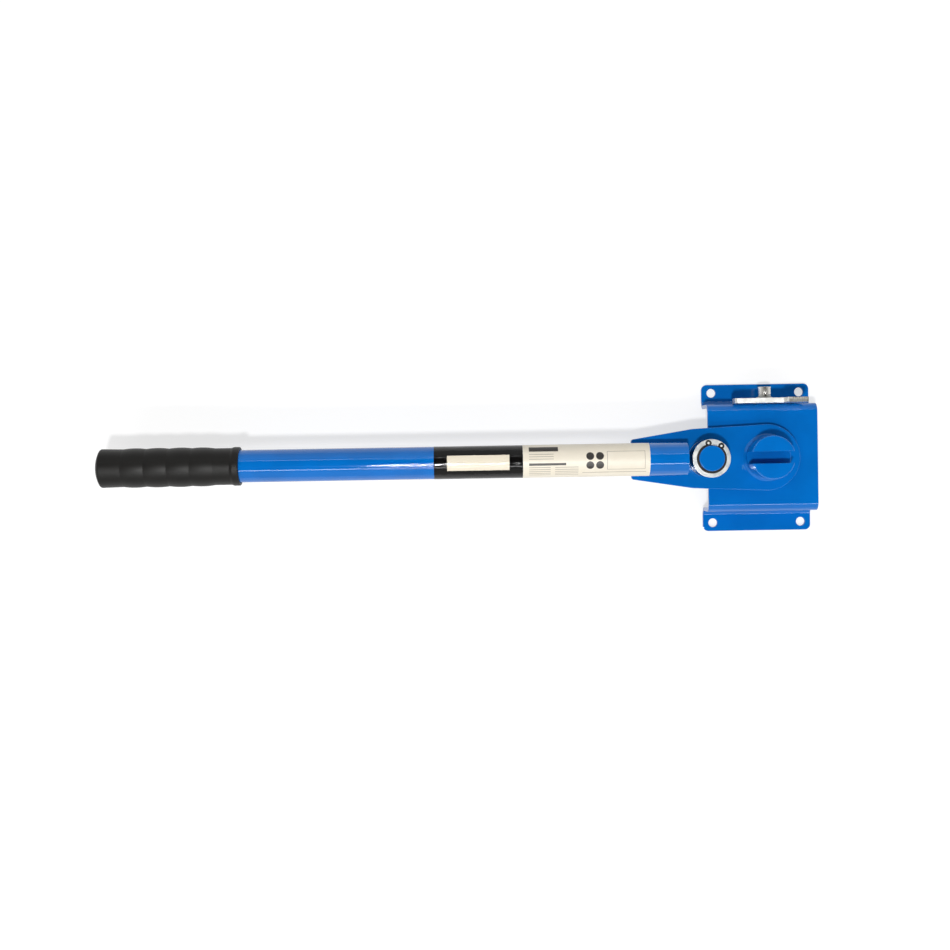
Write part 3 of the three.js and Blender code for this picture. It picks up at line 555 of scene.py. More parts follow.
class Finish:
    """One material: its slot in the record, its shader's even values, and the nodes that vary it."""

    def __init__(self, name, slot=None, **even):
        self.slot = slot
        self.material = bpy.data.materials.new(name)
        self.material.use_nodes = True
        self.tree = self.material.node_tree
        self.shader = self.tree.nodes["Principled BSDF"]
        for socket, value in even.items():
            self.shader.inputs[socket.replace("_", " ")].default_value = value
        self.place = self.node("ShaderNodeTexCoord", output="Object")

    def node(self, kind, settings=None, inputs=None, output=0):
        """Any node: its settings first, then its sockets' values or links, then the output asked for."""
        made = self.tree.nodes.new(kind)
        for name, value in (settings or {}).items():
            setattr(made, name, value)
        for name, value in (inputs or {}).items():
            if isinstance(value, Term):
                self.tree.links.new(value.socket, made.inputs[name])
            else:
                made.inputs[name].default_value = value
        return Term(self, made.outputs[output])

    def math(self, operation, *values):
        return self.node("ShaderNodeMath", {"operation": operation}, dict(enumerate(values)))

    def noise(self, size, detail=3, roughness=0.5, stretch=(1, 1, 1)):
        """Cloudy noise from 0 to 1, whose clouds are as wide as told, and longer along an axis below 1."""
        place = self.node("ShaderNodeMapping", inputs={"Vector": self.place, "Scale": stretch})
        return self.node("ShaderNodeTexNoise", inputs={
            "Vector": place, "Scale": 1 / size, "Detail": detail, "Roughness": roughness})

    def smooth_step(self, value, low, high):
        """0 where a value lies before low and 1 where it lies past high, smoothly from one to the other."""
        return self.node("ShaderNodeMapRange", {"interpolation_type": "SMOOTHSTEP"}, {
            "Value": value, "From Min": low, "From Max": high})

    def mix(self, share, first, second):
        """Two colours mixed: the second one where the share is 1."""
        return self.node("ShaderNodeMix", {"data_type": "RGBA"}, {0: share, 6: first, 7: second}, 2)

    def shade(self, share, shades):
        """The first of two shades where the share is 0, and the second one where it is 1."""
        return self.mix(share, colour(*shades[0]), colour(*shades[1]))

    def between(self, value, low, high, edge=PRINT_EDGE):
        """1 where a value lies between two limits, fading over an edge's width outside them."""
        rising = self.smooth_step(value, low - edge, low)
        return rising * self.smooth_step(value, high + edge, high)

    def axes(self, origin=(0, 0, 0)):
        """The three distances of a point from an origin, along the axes."""
        moved = self.node("ShaderNodeVectorMath", {"operation": "SUBTRACT"}, {0: self.place, 1: origin})
        made = self.node("ShaderNodeSeparateXYZ", inputs={0: moved})
        return [Term(self, output) for output in made.socket.node.outputs]

    def bump(self, height, distance):
        """The surface raised by height times a distance, in how it takes the light."""
        raised = {"Height": height, "Distance": distance, "Strength": 1}
        self.feed("Normal", self.node("ShaderNodeBump", inputs=raised))

    def feed(self, socket, term):
        self.tree.links.new(term.socket, self.shader.inputs[socket])


def colour(red, green, blue):
    """A colour as a screen shows it, from 0 to 255, as the shader takes it."""
    shown = (red / 255, green / 255, blue / 255)
    return (*(((c + 0.055) / 1.055) ** 2.4 if c > 0.04 else c / 12.92 for c in shown), 1)


def blue_paint(name="blue_paint", lumps=0.0, coarse=None):
    """Glossy sprayed paint: orange peel, faint clouds of shade, a few pale specks, a duller film in places.

    The orange peel is coarse between two places along X, and fades to its fine grain over the third length.
    """
    paint = Finish(name, "blue_paint")
    clouds = paint.noise(PAINT_CLOUD, 4)
    specks = paint.smooth_step(paint.noise(PAINT_SPECK, 2), 0.74, 0.82)
    base = paint.shade(paint.smooth_step(clouds, 0.35, 0.65), BLUE_SHADES)
    paint.feed("Base Color", paint.mix(specks * 0.12, base, colour(*BLUE_SPECK)))
    dull = paint.noise(PAINT_DULL_PATCH, 5, 0.6)
    paint.feed("Roughness", 0.04 + dull * 0.07)
    peel = paint.noise(PAINT_PEEL, 2, 0.4) * 0.4
    if coarse:
        peel = peel + paint.noise(PAINT_COARSE_PEEL, 2) * paint.between(paint.axes()[0], *coarse) * 6
    ripple = paint.noise(PAINT_RIPPLE, 2)
    paint.bump(peel + ripple * (0.6 + lumps), PAINT_RELIEF)
    return paint


def zinc_plate(name="zinc_plate", dullness=0.34, shades=ZINC_SHADES):
    """Bright zinc: fine grain along X, a cloudy passivated film of two shades, and small dull specks."""
    zinc = Finish(name, "zinc_plate", Metallic=1.0)
    film = zinc.noise(ZINC_CLOUD, 4, 0.6)
    base = zinc.shade(zinc.smooth_step(film, 0.3, 0.7), shades)
    specks = zinc.smooth_step(zinc.noise(ZINC_SPECK), 0.66, 0.74)
    zinc.feed("Base Color", zinc.mix(specks * 0.5, base, colour(*ZINC_DULL_SPECK)))
    lines = zinc.noise(ZINC_GRAIN, 3, 0.6, (0.08, 1, 1))
    zinc.feed("Roughness", dullness + film * 0.14 + lines * 0.06)
    zinc.bump(lines * 0.6 + film * 0.4, ZINC_RELIEF)
    return zinc


def turned_zinc(centre):
    """Bright zinc on a turned washer: rings round the axis, which spread each light along the radius."""
    zinc = Finish("zinc_on_washer", "zinc_plate", Metallic=1.0)
    x, y, z = zinc.axes(centre)
    radius = zinc.math("SQRT", x * x + y * y)
    rings = zinc.node("ShaderNodeTexNoise", {"noise_dimensions": "1D"}, {
        "W": radius + z, "Scale": 1 / TURNED_ZINC_RING, "Detail": 3, "Roughness": 0.6})
    film = zinc.noise(TURNED_ZINC_CLOUD, 4, 0.6)
    zinc.feed("Base Color", zinc.shade(zinc.smooth_step(film, 0.3, 0.7), TURNED_ZINC_SHADES))
    zinc.feed("Roughness", 0.26 + film * 0.12)
    zinc.bump(rings + film * 0.3, TURNED_ZINC_RELIEF)
    return zinc


def sheared_zinc(top, middle, lug):
    """Zinc on a sheared plate: the lug's top is rough, with cross ridges, paler on its outer half.

    top is the height of that face, middle the plate's own middle, and lug where along X the lug starts.
    """
    zinc = Finish("zinc_on_stop", "zinc_plate", Metallic=1.0)
    x, y, z = zinc.axes()
    level = top - SHEARED_ZINC_EDGE
    there = zinc.smooth_step(z, level - SHEARED_ZINC_FADE, level)
    there = there * zinc.smooth_step(x, lug, lug + SHEARED_ZINC_EDGE)
    film = zinc.noise(SHEARED_ZINC_CLOUD, 4, 0.6)
    wave = zinc.noise(SHEARED_ZINC_WAVE, 2, 0.5, (1, 0.3, 1))
    ridges = zinc.noise(SHEARED_ZINC_RIDGE, 2, 0.6, (1, 0.25, 1))
    base = zinc.shade(zinc.smooth_step(film, 0.3, 0.7), SHEARED_ZINC_SHADES)
    outer = zinc.smooth_step(y, middle - SHEARED_ZINC_FADE, middle + SHEARED_ZINC_EDGE)
    torn = zinc.shade(outer, TORN_ZINC_SHADES)
    torn = zinc.mix(zinc.smooth_step(ridges, 0.45, 0.62) * 0.7, torn, colour(*TORN_ZINC_RIDGE))
    zinc.feed("Base Color", zinc.mix(there, base, torn))
    zinc.feed("Roughness", 0.33 + film * 0.1 + there * 0.16)
    zinc.bump(wave * 0.5 + ridges * there * 1.5 + film * 0.3, SHEARED_ZINC_RELIEF)
    return zinc


def turned_steel(centre):
    """Dark oiled steel with turning marks: fine rings by height and by distance from the axis."""
    steel = Finish("turned_steel", "bare_steel", Metallic=1.0)
    x, y, z = steel.axes(centre)
    radius = steel.math("SQRT", x * x + y * y)
    marks = steel.math("SINE", (radius + z) * (2 * math.pi / STEEL_RING))
    oil = steel.noise(STEEL_OIL_PATCH, 4)
    steel.feed("Base Color", steel.shade(steel.smooth_step(oil, 0.35, 0.7), STEEL_SHADES))
    steel.feed("Roughness", 0.17 + oil * 0.14)
    steel.bump(marks * 0.25 + steel.noise(STEEL_GRAIN, 2, 0.5, (1, 1, 0.1)), STEEL_RELIEF)
    return steel


def spring_steel():
    """Black oxide on spring steel, rubbed greyer in places."""
    black = Finish("black_spring_steel", "black_spring_steel", Metallic=0.55)
    rub = black.smooth_step(black.noise(OXIDE_RUB, 4, 0.6), 0.55, 0.8)
    black.feed("Base Color", black.shade(rub, OXIDE_SHADES))
    black.feed("Roughness", 0.42 - rub * 0.1)
    black.bump(black.noise(OXIDE_GRAIN, 2), OXIDE_RELIEF)
    return black


def bush_bronze():
    """Plain sintered bronze, open grained and a little oily."""
    bronze = Finish("bush_bronze", "bronze", Metallic=1.0)
    grain = bronze.noise(BRONZE_GRAIN)
    bronze.feed("Base Color", bronze.shade(grain, BRONZE_SHADES))
    bronze.feed("Roughness", 0.34 + grain * 0.15)
    bronze.bump(grain, BRONZE_RELIEF)
    return bronze


def grip_plastic():
    """Soft black moulded plastic: a fine leathery grain, faint flow clouds and specks of paler dust."""
    plastic = Finish("grip_plastic", "grip_plastic", Specular_IOR_Level=0.28)
    clouds = plastic.noise(PLASTIC_CLOUD, 4, 0.5, (0.5, 1, 1))
    dust = plastic.smooth_step(plastic.noise(PLASTIC_DUST, 4, 0.65), 0.6, 0.8)
    base = plastic.shade(clouds, PLASTIC_SHADES)
    plastic.feed("Base Color", plastic.mix(dust * 0.25, base, colour(*PLASTIC_DUSTY)))
    plastic.feed("Roughness", 0.4 + clouds * 0.14)
    grain = plastic.noise(PLASTIC_GRAIN, 3, 0.55)
    plastic.bump(grain * 0.5 + plastic.noise(PLASTIC_RIPPLE, 2) * 0.5, PLASTIC_RELIEF)
    return plastic


def on_tube(finish, axis):
    """Where a point lies on the tube: how far along from the pivot, and how far round from the top."""
    x, y, z = finish.axes(axis)
    return x, finish.math("ARCTAN2", y, z) * tube_radius


def printed(finish, along, around, box, edge=PRINT_EDGE):
    """1 inside a printed rectangle, given as its limits along the tube and round it."""
    (start, end), (low, high) = box
    return finish.between(along, start, end, edge) * finish.between(around, low, high, edge)


def black_film(axis):
    """Glossy black printed film with one plain pale band, light scuffs and fine wrinkles along the tube."""
    film = Finish("black_film", None, Specular_IOR_Level=0.35)
    along, around = on_tube(film, axis)
    band = printed(film, along, around, BLACK_FILM_BAND)
    scuff = film.smooth_step(film.noise(BLACK_FILM_SCUFF, 5, 0.65), 0.62, 0.85)
    base = film.shade(scuff * 0.2, BLACK_FILM_SHADES)
    film.feed("Base Color", film.mix(band, base, colour(*BLACK_FILM_BAND_COLOUR)))
    patches = film.smooth_step(film.noise(BLACK_FILM_PATCH), 0.4, 0.6)
    film.feed("Roughness", 0.05 + patches * 0.06 + scuff * 0.2)
    wrinkles = film.noise(BLACK_FILM_WRINKLE, 3, 0.5, (0.12, 1, 1))
    dents = film.noise(BLACK_FILM_DENT, 2) * (0.4 + patches * 3)
    film.bump(wrinkles + dents + film.noise(BLACK_FILM_SWELL, 2), BLACK_FILM_RELIEF)
    return film


def cream_film(axis):
    """Cream paper film printed with two dark bars, thin grey rules, blank spots and an empty ruled frame."""
    film = Finish("cream_film")
    along, around = on_tube(film, axis)
    fibres = film.noise(CREAM_FILM_FIBRE, 4, 0.6)
    paper = film.shade(film.noise(CREAM_FILM_CLOUD), CREAM_FILM_SHADES)
    paper = film.mix(fibres * 0.1, paper, colour(*CREAM_FILM_FIBRE_COLOUR))
    dark = printed(film, along, around, CREAM_FILM_BAR) + printed(film, along, around, CREAM_FILM_TITLE)
    for spot_around, spot_along in itertools.product(CREAM_FILM_SPOTS_AROUND, CREAM_FILM_SPOTS_ALONG):
        beside, above = along - spot_along, around - spot_around
        distance = film.math("SQRT", beside * beside + above * above)
        dark = dark + film.smooth_step(distance, CREAM_FILM_SPOT_RADIUS + PRINT_EDGE, CREAM_FILM_SPOT_RADIUS)
    rules = list(CREAM_FILM_RULES)
    for column in CREAM_FILM_COLUMNS:
        for line in range(CREAM_FILM_COLUMN_LINES):
            top = CREAM_FILM_COLUMN_TOP - line * CREAM_FILM_COLUMN_PITCH
            rules.append((column, (top - CREAM_FILM_LINE, top)))
    grey = printed(film, along, around, CREAM_FILM_FRAME)
    (start, end), (low, high) = CREAM_FILM_FRAME
    width = CREAM_FILM_LINE
    grey = grey - printed(film, along, around, ((start + width, end - width), (low + width, high - width)))
    for box in rules:
        grey = grey + printed(film, along, around, box)
    base = film.mix(grey * 0.75, paper, colour(*CREAM_FILM_GREY_PRINT))
    film.feed("Base Color", film.mix(dark, base, colour(*CREAM_FILM_DARK_PRINT)))
    film.feed("Roughness", 0.3 + fibres * 0.14)
    film.bump(film.noise(CREAM_FILM_SWELL, 3, 0.5, (0.4, 1, 1)) + fibres * 0.1, CREAM_FILM_RELIEF)
    return film


def node_box(node):
    """A node's lowest and highest corners at rest."""
    low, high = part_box(node)
    return np.array(low), np.array(high)


def upright_axis(node):
    """The foot of the upright axis through the middle of a node."""
    low, high = node_box(node)
    return np.array(((low[0] + high[0]) / 2, (low[1] + high[1]) / 2, 0))


def piece(name, finish, shells, *nodes, body=None, crease=None):
    """One object out of its shells, which rides where its first node rides and stands for its nodes."""
    points = np.concatenate([shell[0] for shell in shells])
    starts = np.cumsum([0] + [len(shell[0]) for shell in shells])
    faces = []
    for start, shell in zip(starts, shells):
        for face in shell[1]:
            kept = [start + i for n, i in enumerate(face) if i != face[n - 1]]
            if len(kept) > 2:
                faces.append(kept)
    used = np.unique(np.concatenate([np.array(face) for face in faces]))
    new_index = np.full(len(points), -1)
    new_index[used] = np.arange(len(used))
    mesh = bpy.data.meshes.new(name)
    mesh.from_pydata(points[used].tolist(), [], [new_index[face].tolist() for face in faces])
    mesh.shade_smooth()
    if all(shell[2] is not None for shell in shells):
        normals = np.concatenate([shell[2] for shell in shells])[used]
        mesh.normals_split_custom_set_from_vertices(normals.tolist())
    elif crease is not None:
        mesh.set_sharp_from_angle(angle=crease)
    made = bpy.data.objects.new(name, mesh)
    bpy.context.scene.collection.objects.link(made)
    mesh.materials.append(finish.material)
    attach(made, body or frame["nodes"][nodes[0]]["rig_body"])
    if nodes:
        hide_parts(*nodes)
    return made


base_low, base_high = node_box("base_channel")
post_low, post_high = node_box("bending_post")
pin_low, pin_high = node_box("roller_pin")
tube_low, tube_high = node_box("lever_tube")
plate_low, plate_high = node_box("lever_plate")
stop_low, stop_high = node_box("stop_plate")
screw_low, screw_high = node_box("stop_screw")
pivot = upright_axis("bending_post")
roller_axis = upright_axis("roller_pin")
tube_axis = np.array([pivot[0], (tube_low[1] + tube_high[1]) / 2, (tube_low[2] + tube_high[2]) / 2])
tube_radius = (tube_high[2] - tube_low[2]) / 2
screw_axis = np.array([(screw_low[0] + screw_high[0]) / 2, 0, (screw_low[2] + screw_high[2]) / 2])
stop_middle = (stop_low[1] + stop_high[1]) / 2

paint = blue_paint()
weld_paint = blue_paint("blue_paint_on_weld", 1.5)
coarse_part = (pivot[0] - COARSE_PAINT_START, pivot[0] - COARSE_PAINT_END, COARSE_PAINT_FADE)
tube_paint = blue_paint("blue_paint_on_tube", coarse=coarse_part)
zinc = zinc_plate()
# Painted light: the screw's zinc is lighter than the rest, in place of more light on its head
screw_zinc_with_painted_light = zinc_plate("zinc_on_screw_with_painted_light", 0.13, SCREW_ZINC_PAINTED_LIGHT_SHADES)
washer_zinc = turned_zinc(tuple(roller_axis))
steel = turned_steel(tuple(roller_axis))
black_steel = spring_steel()
bronze = bush_bronze()
plastic = grip_plastic()
stop_zinc = sheared_zinc(stop_high[2], stop_middle, screw_axis[0] + STOP_LUG_FACE)


def folded_base():
    """The base: a flat blank with rounded corners and holes, laid along the path of the folded section.

    v runs along the middle of the sheet from one flange's edge to the other's. The path's knots give the
    place and the heading at each v, and the sheet's outer skin is on the path's left.
    """
    half = SHEET / 2
    edge = base_high[1]
    wall = edge - FLANGE_WIDTH - half
    roof = base_high[2] - half
    middle_bend = BEND_RADIUS + half
    line, side = outline([
        (-edge, half, 0), (-wall, half, middle_bend), (-wall, roof, middle_bend),
        (wall, roof, middle_bend), (wall, half, middle_bend), (edge, half, 0),
    ], closed=False)
    knots = np.concatenate(([0], np.cumsum(np.hypot(*np.diff(line, axis=0).T))))
    total = knots[-1]

    def place(uv):
        v = uv[..., 1]
        y, z = (np.interp(v, knots, line[:, i]) for i in (0, 1))
        right, down = (np.interp(v, knots, side[:, i]) for i in (0, 1))
        none = np.zeros_like(v)
        up = np.stack((none, -right, -down), axis=-1)
        ahead = np.stack((none, -down, right), axis=-1)
        spot = np.stack((uv[..., 0], y, z), axis=-1)
        beyond = np.clip(v, None, 0) + np.clip(v - total, 0, None)
        return spot + beyond[..., None] * ahead, np.array((1.0, 0, 0)), ahead, up

    start, end = base_low[0], base_high[0]
    corner, quarter = FLANGE_CORNER_RADIUS, math.pi / 2
    inner_knots = knots[(knots > corner) & (knots < total - corner)]

    def straight(u, stretch, outward):
        """One end of the blank, with a point at each knot of the fold."""
        return np.stack((np.full(len(stretch), u), stretch), axis=1), np.tile((outward, 0), (len(stretch), 1))

    rim = [
        arc((end - corner, corner), corner, 0, quarter, 1),
        straight(end, inner_knots, 1.0),
        arc((end - corner, total - corner), corner, quarter, 2 * quarter, 1),
        arc((start + corner, total - corner), corner, 2 * quarter, 3 * quarter, 1),
        straight(start, inner_knots[::-1], -1.0),
        arc((start + corner, corner), corner, 3 * quarter, 4 * quarter, 1),
    ]
    rim = tuple(np.concatenate(part) for part in zip(*rim))
    ends = (start + BOLT_HOLE_FROM_END, end - BOLT_HOLE_FROM_END)
    holes = [circle(BOLT_HOLE_RADIUS, (u, v), -1)
             for u in ends for v in (BOLT_HOLE_FROM_EDGE, total - BOLT_HOLE_FROM_EDGE)]
    holes.append(circle(SPIGOT_RADIUS + BORE_GAP, (pivot[0], total / 2), -1))
    falling = np.abs(line[:, 0] - wall) < CHORD_ERROR
    screw_v = np.interp(-screw_axis[2], -line[falling, 1], knots[falling])
    holes.append(circle(SCREW_HOLE_RADIUS, (screw_axis[0], screw_v), -1))
    limits = [-corner, *inner_knots, total + corner]
    return plate([rim, *holes], SHEET, SHEARED_EDGE, place, list(zip(limits[:-1], limits[1:])))


def stepped(obj, *settings):
    """Adds modifiers to an object and applies them, so that its own mesh is the finished one."""
    for kind, values in settings:
        modifier = obj.modifiers.new(kind.title(), kind)
        for name, value in values.items():
            setattr(modifier, name, value)
    bpy.context.view_layer.update()
    finished = bpy.data.meshes.new_from_object(obj.evaluated_get(bpy.context.evaluated_depsgraph_get()))
    obj.modifiers.clear()
    obj.data = finished


def slotted_post():
    """The post and its spigot, turned in one, with the slot milled out and its edges rounded."""
    seat = plate_high[2] + GROOVE_GAP
    top, bottom = post_high[2], post_low[2]
    radius = (post_high[0] - post_low[0]) / 2
    groove = SPIGOT_RADIUS - SPIGOT_GROOVE_DEPTH
    clip_low, clip_high = node_box("pivot_circlip")
    fine = TURNED_EDGE / 2
    profile = outline([
        (0, bottom, 0), (SPIGOT_RADIUS - SPIGOT_CHAMFER, bottom, TURNED_EDGE),
        (SPIGOT_RADIUS, bottom + SPIGOT_CHAMFER, TURNED_EDGE),
        (SPIGOT_RADIUS, clip_low[2] - GROOVE_GAP, fine),
        (groove, clip_low[2] - GROOVE_GAP, fine), (groove, clip_high[2] + GROOVE_GAP, fine),
        (SPIGOT_RADIUS, clip_high[2] + GROOVE_GAP, fine), (SPIGOT_RADIUS, seat, TURNED_EDGE),
        (radius, seat, TURNED_EDGE), (radius, top, POST_RIM), (0, top, 0),
    ], closed=False)
    body = piece("slotted_post", paint, [turned(profile, pivot, closed=False)], "bending_post")
    reach = np.array((2 * radius, SLOT_WIDTH / 2, SLOT_DEPTH))
    corners = np.array(list(itertools.product((-1, 1), repeat=3)))
    cutter = bpy.data.meshes.new("slot_cutter")
    cutter.from_pydata((pivot + (0, 0, top) + corners * reach).tolist(), [], [
        (0, 1, 3, 2), (4, 6, 7, 5), (0, 4, 5, 1), (2, 3, 7, 6), (0, 2, 6, 4), (1, 5, 7, 3)])
    tool = bpy.data.objects.new("slot_cutter", cutter)
    bpy.context.scene.collection.objects.link(tool)
    stepped(
        body,
        ("BOOLEAN", {"object": tool, "operation": "DIFFERENCE", "solver": "EXACT"}),
        ("BEVEL", {"width": SLOT_EDGE, "segments": EDGE_STEPS, "limit_method": "ANGLE",
                   "angle_limit": CREASE_ANGLE, "harden_normals": True}),
    )
    bpy.data.objects.remove(tool)
    return body


def weld_section(root, toe, knee, top, ripple, waist=1.0):
    """The section of a weld in the corner of two faces: a curved face from toe to top, two straight backs.

    The face is the quadratic curve pulled to the knee, moved out by the ripple, which dies off at both ends.
    """
    share = np.linspace(0, 1, WELD_POINTS)[None, :, None]
    root, toe, knee, top = (np.array(p)[None, None] for p in (root, toe, knee, top))
    face = (1 - share) ** 2 * toe + 2 * share * (1 - share) * knee + share ** 2 * top
    out = (face - root) / np.linalg.norm(face - root, axis=-1, keepdims=True)
    face = face + out * ripple[..., None] * np.sin(math.pi * share)
    rooted = np.repeat(root, len(face), axis=0)
    section = np.concatenate((rooted, face), axis=1)
    return rooted + (section - rooted) * waist


def ring_weld(shaft_radius, face_height, leg, centre, upwards=1):
    """A weld round a shaft: the section above, rippled by a slow wave and by the weld's own scales."""
    angle = np.linspace(0, 2 * math.pi, ROUND_STEPS, endpoint=False)[:, None]
    share = np.linspace(0, 1, WELD_POINTS)[None, :]
    scales = max(RING_WELD_FEWEST_SCALES, round(2 * math.pi * shaft_radius / RING_WELD_SCALE))
    bow = RING_WELD_SCALE_BOW * (share - 0.5) ** 2
    ripple = RING_WELD_WAVE_SHARE * np.sin(RING_WELD_WAVES * angle)
    ripple = ripple + RING_WELD_SCALE_SHARE * np.sin(scales * angle + bow)
    root, knee = -RING_WELD_ROOT_SHARE * leg, RING_WELD_KNEE_SHARE * leg
    section = weld_section((root, root), (leg, 0), (knee, knee), (0, leg), leg * ripple)
    outs = np.concatenate((np.cos(angle), np.sin(angle), np.zeros_like(angle)), axis=1)
    ups = np.tile((0.0, 0, upwards), (ROUND_STEPS, 1))
    spots = centre + shaft_radius * outs + (0, 0, face_height)
    return outwards(swept(section, spots, outs, ups, closed=True))


def outwards(shell):
    """The shell with its faces turned to point out, by the sign of the volume that they close."""
    points, faces, normals = shell
    total = 0.0
    for face in faces:
        corners = points[face]
        for i in range(1, len(face) - 1):
            total += np.dot(corners[0], np.cross(corners[i], corners[i + 1]))
    return shell if total > 0 else (points, [face[::-1] for face in faces], normals)


def tube_weld(side):
    """A bead along the tube, on one side: the section above, carried along with scales and rounded ends."""
    low, high = node_box("tube_weld_back")
    x = np.linspace(low[0], high[0], TUBE_WELD_STEPS)[:, None]
    bow = TUBE_WELD_SCALE_BOW * np.sin(np.linspace(0, math.pi, WELD_POINTS)[None, :])
    ripple = TUBE_WELD_SCALE_DEPTH * np.sin(2 * math.pi * (x + bow) / TUBE_WELD_SCALE)
    ripple = ripple + TUBE_WELD_WAVE_DEPTH * np.sin(2 * math.pi * x / TUBE_WELD_WAVE + side)
    from_end = np.minimum(x - low[0], high[0] - x) / TUBE_WELD_ROUND_END
    waist = np.sqrt(1 - (1 - np.clip(from_end, TUBE_WELD_TIP_SHARE, 1)) ** 2)[..., None]
    seat = low[2]
    root = (tube_radius * math.sin(TUBE_WELD_ROOT_ANGLE), seat)
    toe = (high[1] - tube_axis[1], seat)
    top = (tube_radius * math.sin(TUBE_WELD_TOP_ANGLE),
           tube_axis[2] - tube_radius * math.cos(TUBE_WELD_TOP_ANGLE))
    knee = (toe[0] - TUBE_WELD_KNEE_INSET, top[1] - TUBE_WELD_KNEE_DROP)
    section = weld_section(root, toe, knee, top, ripple, waist)
    outs = np.tile((0.0, side, 0), (TUBE_WELD_STEPS, 1))
    ups = np.tile((0.0, 0, 1), (TUBE_WELD_STEPS, 1))
    spots = np.concatenate((x, np.full_like(x, tube_axis[1]), np.zeros_like(x)), axis=1)
    return outwards(swept(section, spots, outs, ups))


def circlip_loops(groove_radius, width, lug):
    """A circlip's rim and its two eyes: bore, lug, back, lug, where the lugs' circles touch the bore."""
    inner = groove_radius + GROOVE_GAP
    outer = inner + width
    first, last = CIRCLIP_LUG_ANGLES
    middle = (first + last) / 2
    shift = -CIRCLIP_SHIFT * np.array((math.cos(middle), math.sin(middle)))
    eyes = [(inner + lug) * np.array((math.cos(a), math.sin(a))) for a in (first, last)]

    def meeting(eye, turn):
        """Where the back's circle and a lug's circle cross, on the side away from the gap."""
        between = eye - shift
        reach = np.linalg.norm(between)
        along = (reach ** 2 + outer ** 2 - lug ** 2) / (2 * reach)
        height = math.sqrt(outer ** 2 - along ** 2)
        unit = between / reach
        return shift + along * unit + turn * height * np.array((-unit[1], unit[0]))

    quarter = math.pi / 2
    start, end = meeting(eyes[1], 1), meeting(eyes[0], -1)
    back_start = math.atan2(*(start - shift)[::-1])
    back_end = math.atan2(*(end - shift)[::-1]) + 2 * math.pi
    rim = [arc(shift, outer, back_start + quarter, back_end + quarter, 1)]
    from_back = math.atan2(*(end - eyes[0])[::-1])
    touch_angle = first + math.pi
    if touch_angle < from_back:
        touch_angle += 2 * math.pi
    rim.append(arc(eyes[0], lug, from_back + quarter, touch_angle + quarter, 1))
    rim.append(arc((0, 0), inner, first + 2 * math.pi - quarter, last - quarter, -1))
    to_back = math.atan2(*(start - eyes[1])[::-1])
    touch_angle = last + math.pi
    if to_back + 2 * math.pi < touch_angle:
        to_back += 2 * math.pi
    rim.append(arc(eyes[1], lug, touch_angle + quarter, to_back + 2 * math.pi + quarter, 1))
    rim = tuple(np.concatenate(part) for part in zip(*rim))
    return [rim, *(circle(CIRCLIP_EYE, tuple(eye), -1) for eye in eyes)]


def lever_plate():
    """The blade: round about the pivot, straight to its shoulders, then tapered to the tip under the tube."""
    shoulder, half_shoulder = PLATE_SHOULDER_FROM_PIVOT, PLATE_SHOULDER_HALF_WIDTH
    tip = pivot[0] - plate_low[0]
    rim = outline([
        (-tip, -PLATE_TIP_HALF_WIDTH, PLATE_TIP_RADIUS), (-shoulder, -half_shoulder, PLATE_SHOULDER_RADIUS),
        (0, 0, PLATE_ROUND_RADIUS, "round"),
        (-shoulder, half_shoulder, PLATE_SHOULDER_RADIUS), (-tip, PLATE_TIP_HALF_WIDTH, PLATE_TIP_RADIUS),
    ])
    pin_place = (roller_axis[0] - pivot[0], 0)
    holes = [circle(SPIGOT_RADIUS + GROOVE_GAP, side=-1), circle(PIN_FOOT_RADIUS + GROOVE_GAP, pin_place, -1)]
    thickness = plate_high[2] - plate_low[2]
    place = flat(pivot + (0, 0, (plate_low[2] + plate_high[2]) / 2), (1, 0, 0), (0, 1, 0))
    return plate([rim, *holes], thickness, PLATE_EDGE, place)


def stop_plate():
    """The stop, drawn from its screw: a round boss, a plain end towards the handle and a raised lug."""
    rim = outline([
        (STOP_LUG_REACH, STOP_LUG_LOWER_CORNER, STOP_CORNER_RADIUS),
        (STOP_LUG_REACH, STOP_LUG_TOP, STOP_CORNER_RADIUS), (STOP_LUG_FACE, STOP_LUG_TOP, STOP_CORNER_RADIUS),
        (STOP_LUG_FACE, STOP_LUG_FOOT, STOP_CORNER_RADIUS),
        (-STOP_HANDLE_REACH, STOP_HANDLE_TOP, STOP_CORNER_RADIUS),
        (-STOP_HANDLE_REACH, STOP_HANDLE_FOOT, STOP_CORNER_RADIUS), (0, 0, STOP_BOSS_RADIUS, "round"),
    ])
    place = flat(screw_axis + (0, stop_middle, 0), (1, 0, 0), (0, 0, 1))
    return plate([rim, circle(SCREW_HOLE_RADIUS, side=-1)], stop_high[1] - stop_low[1], STOP_EDGE, place)


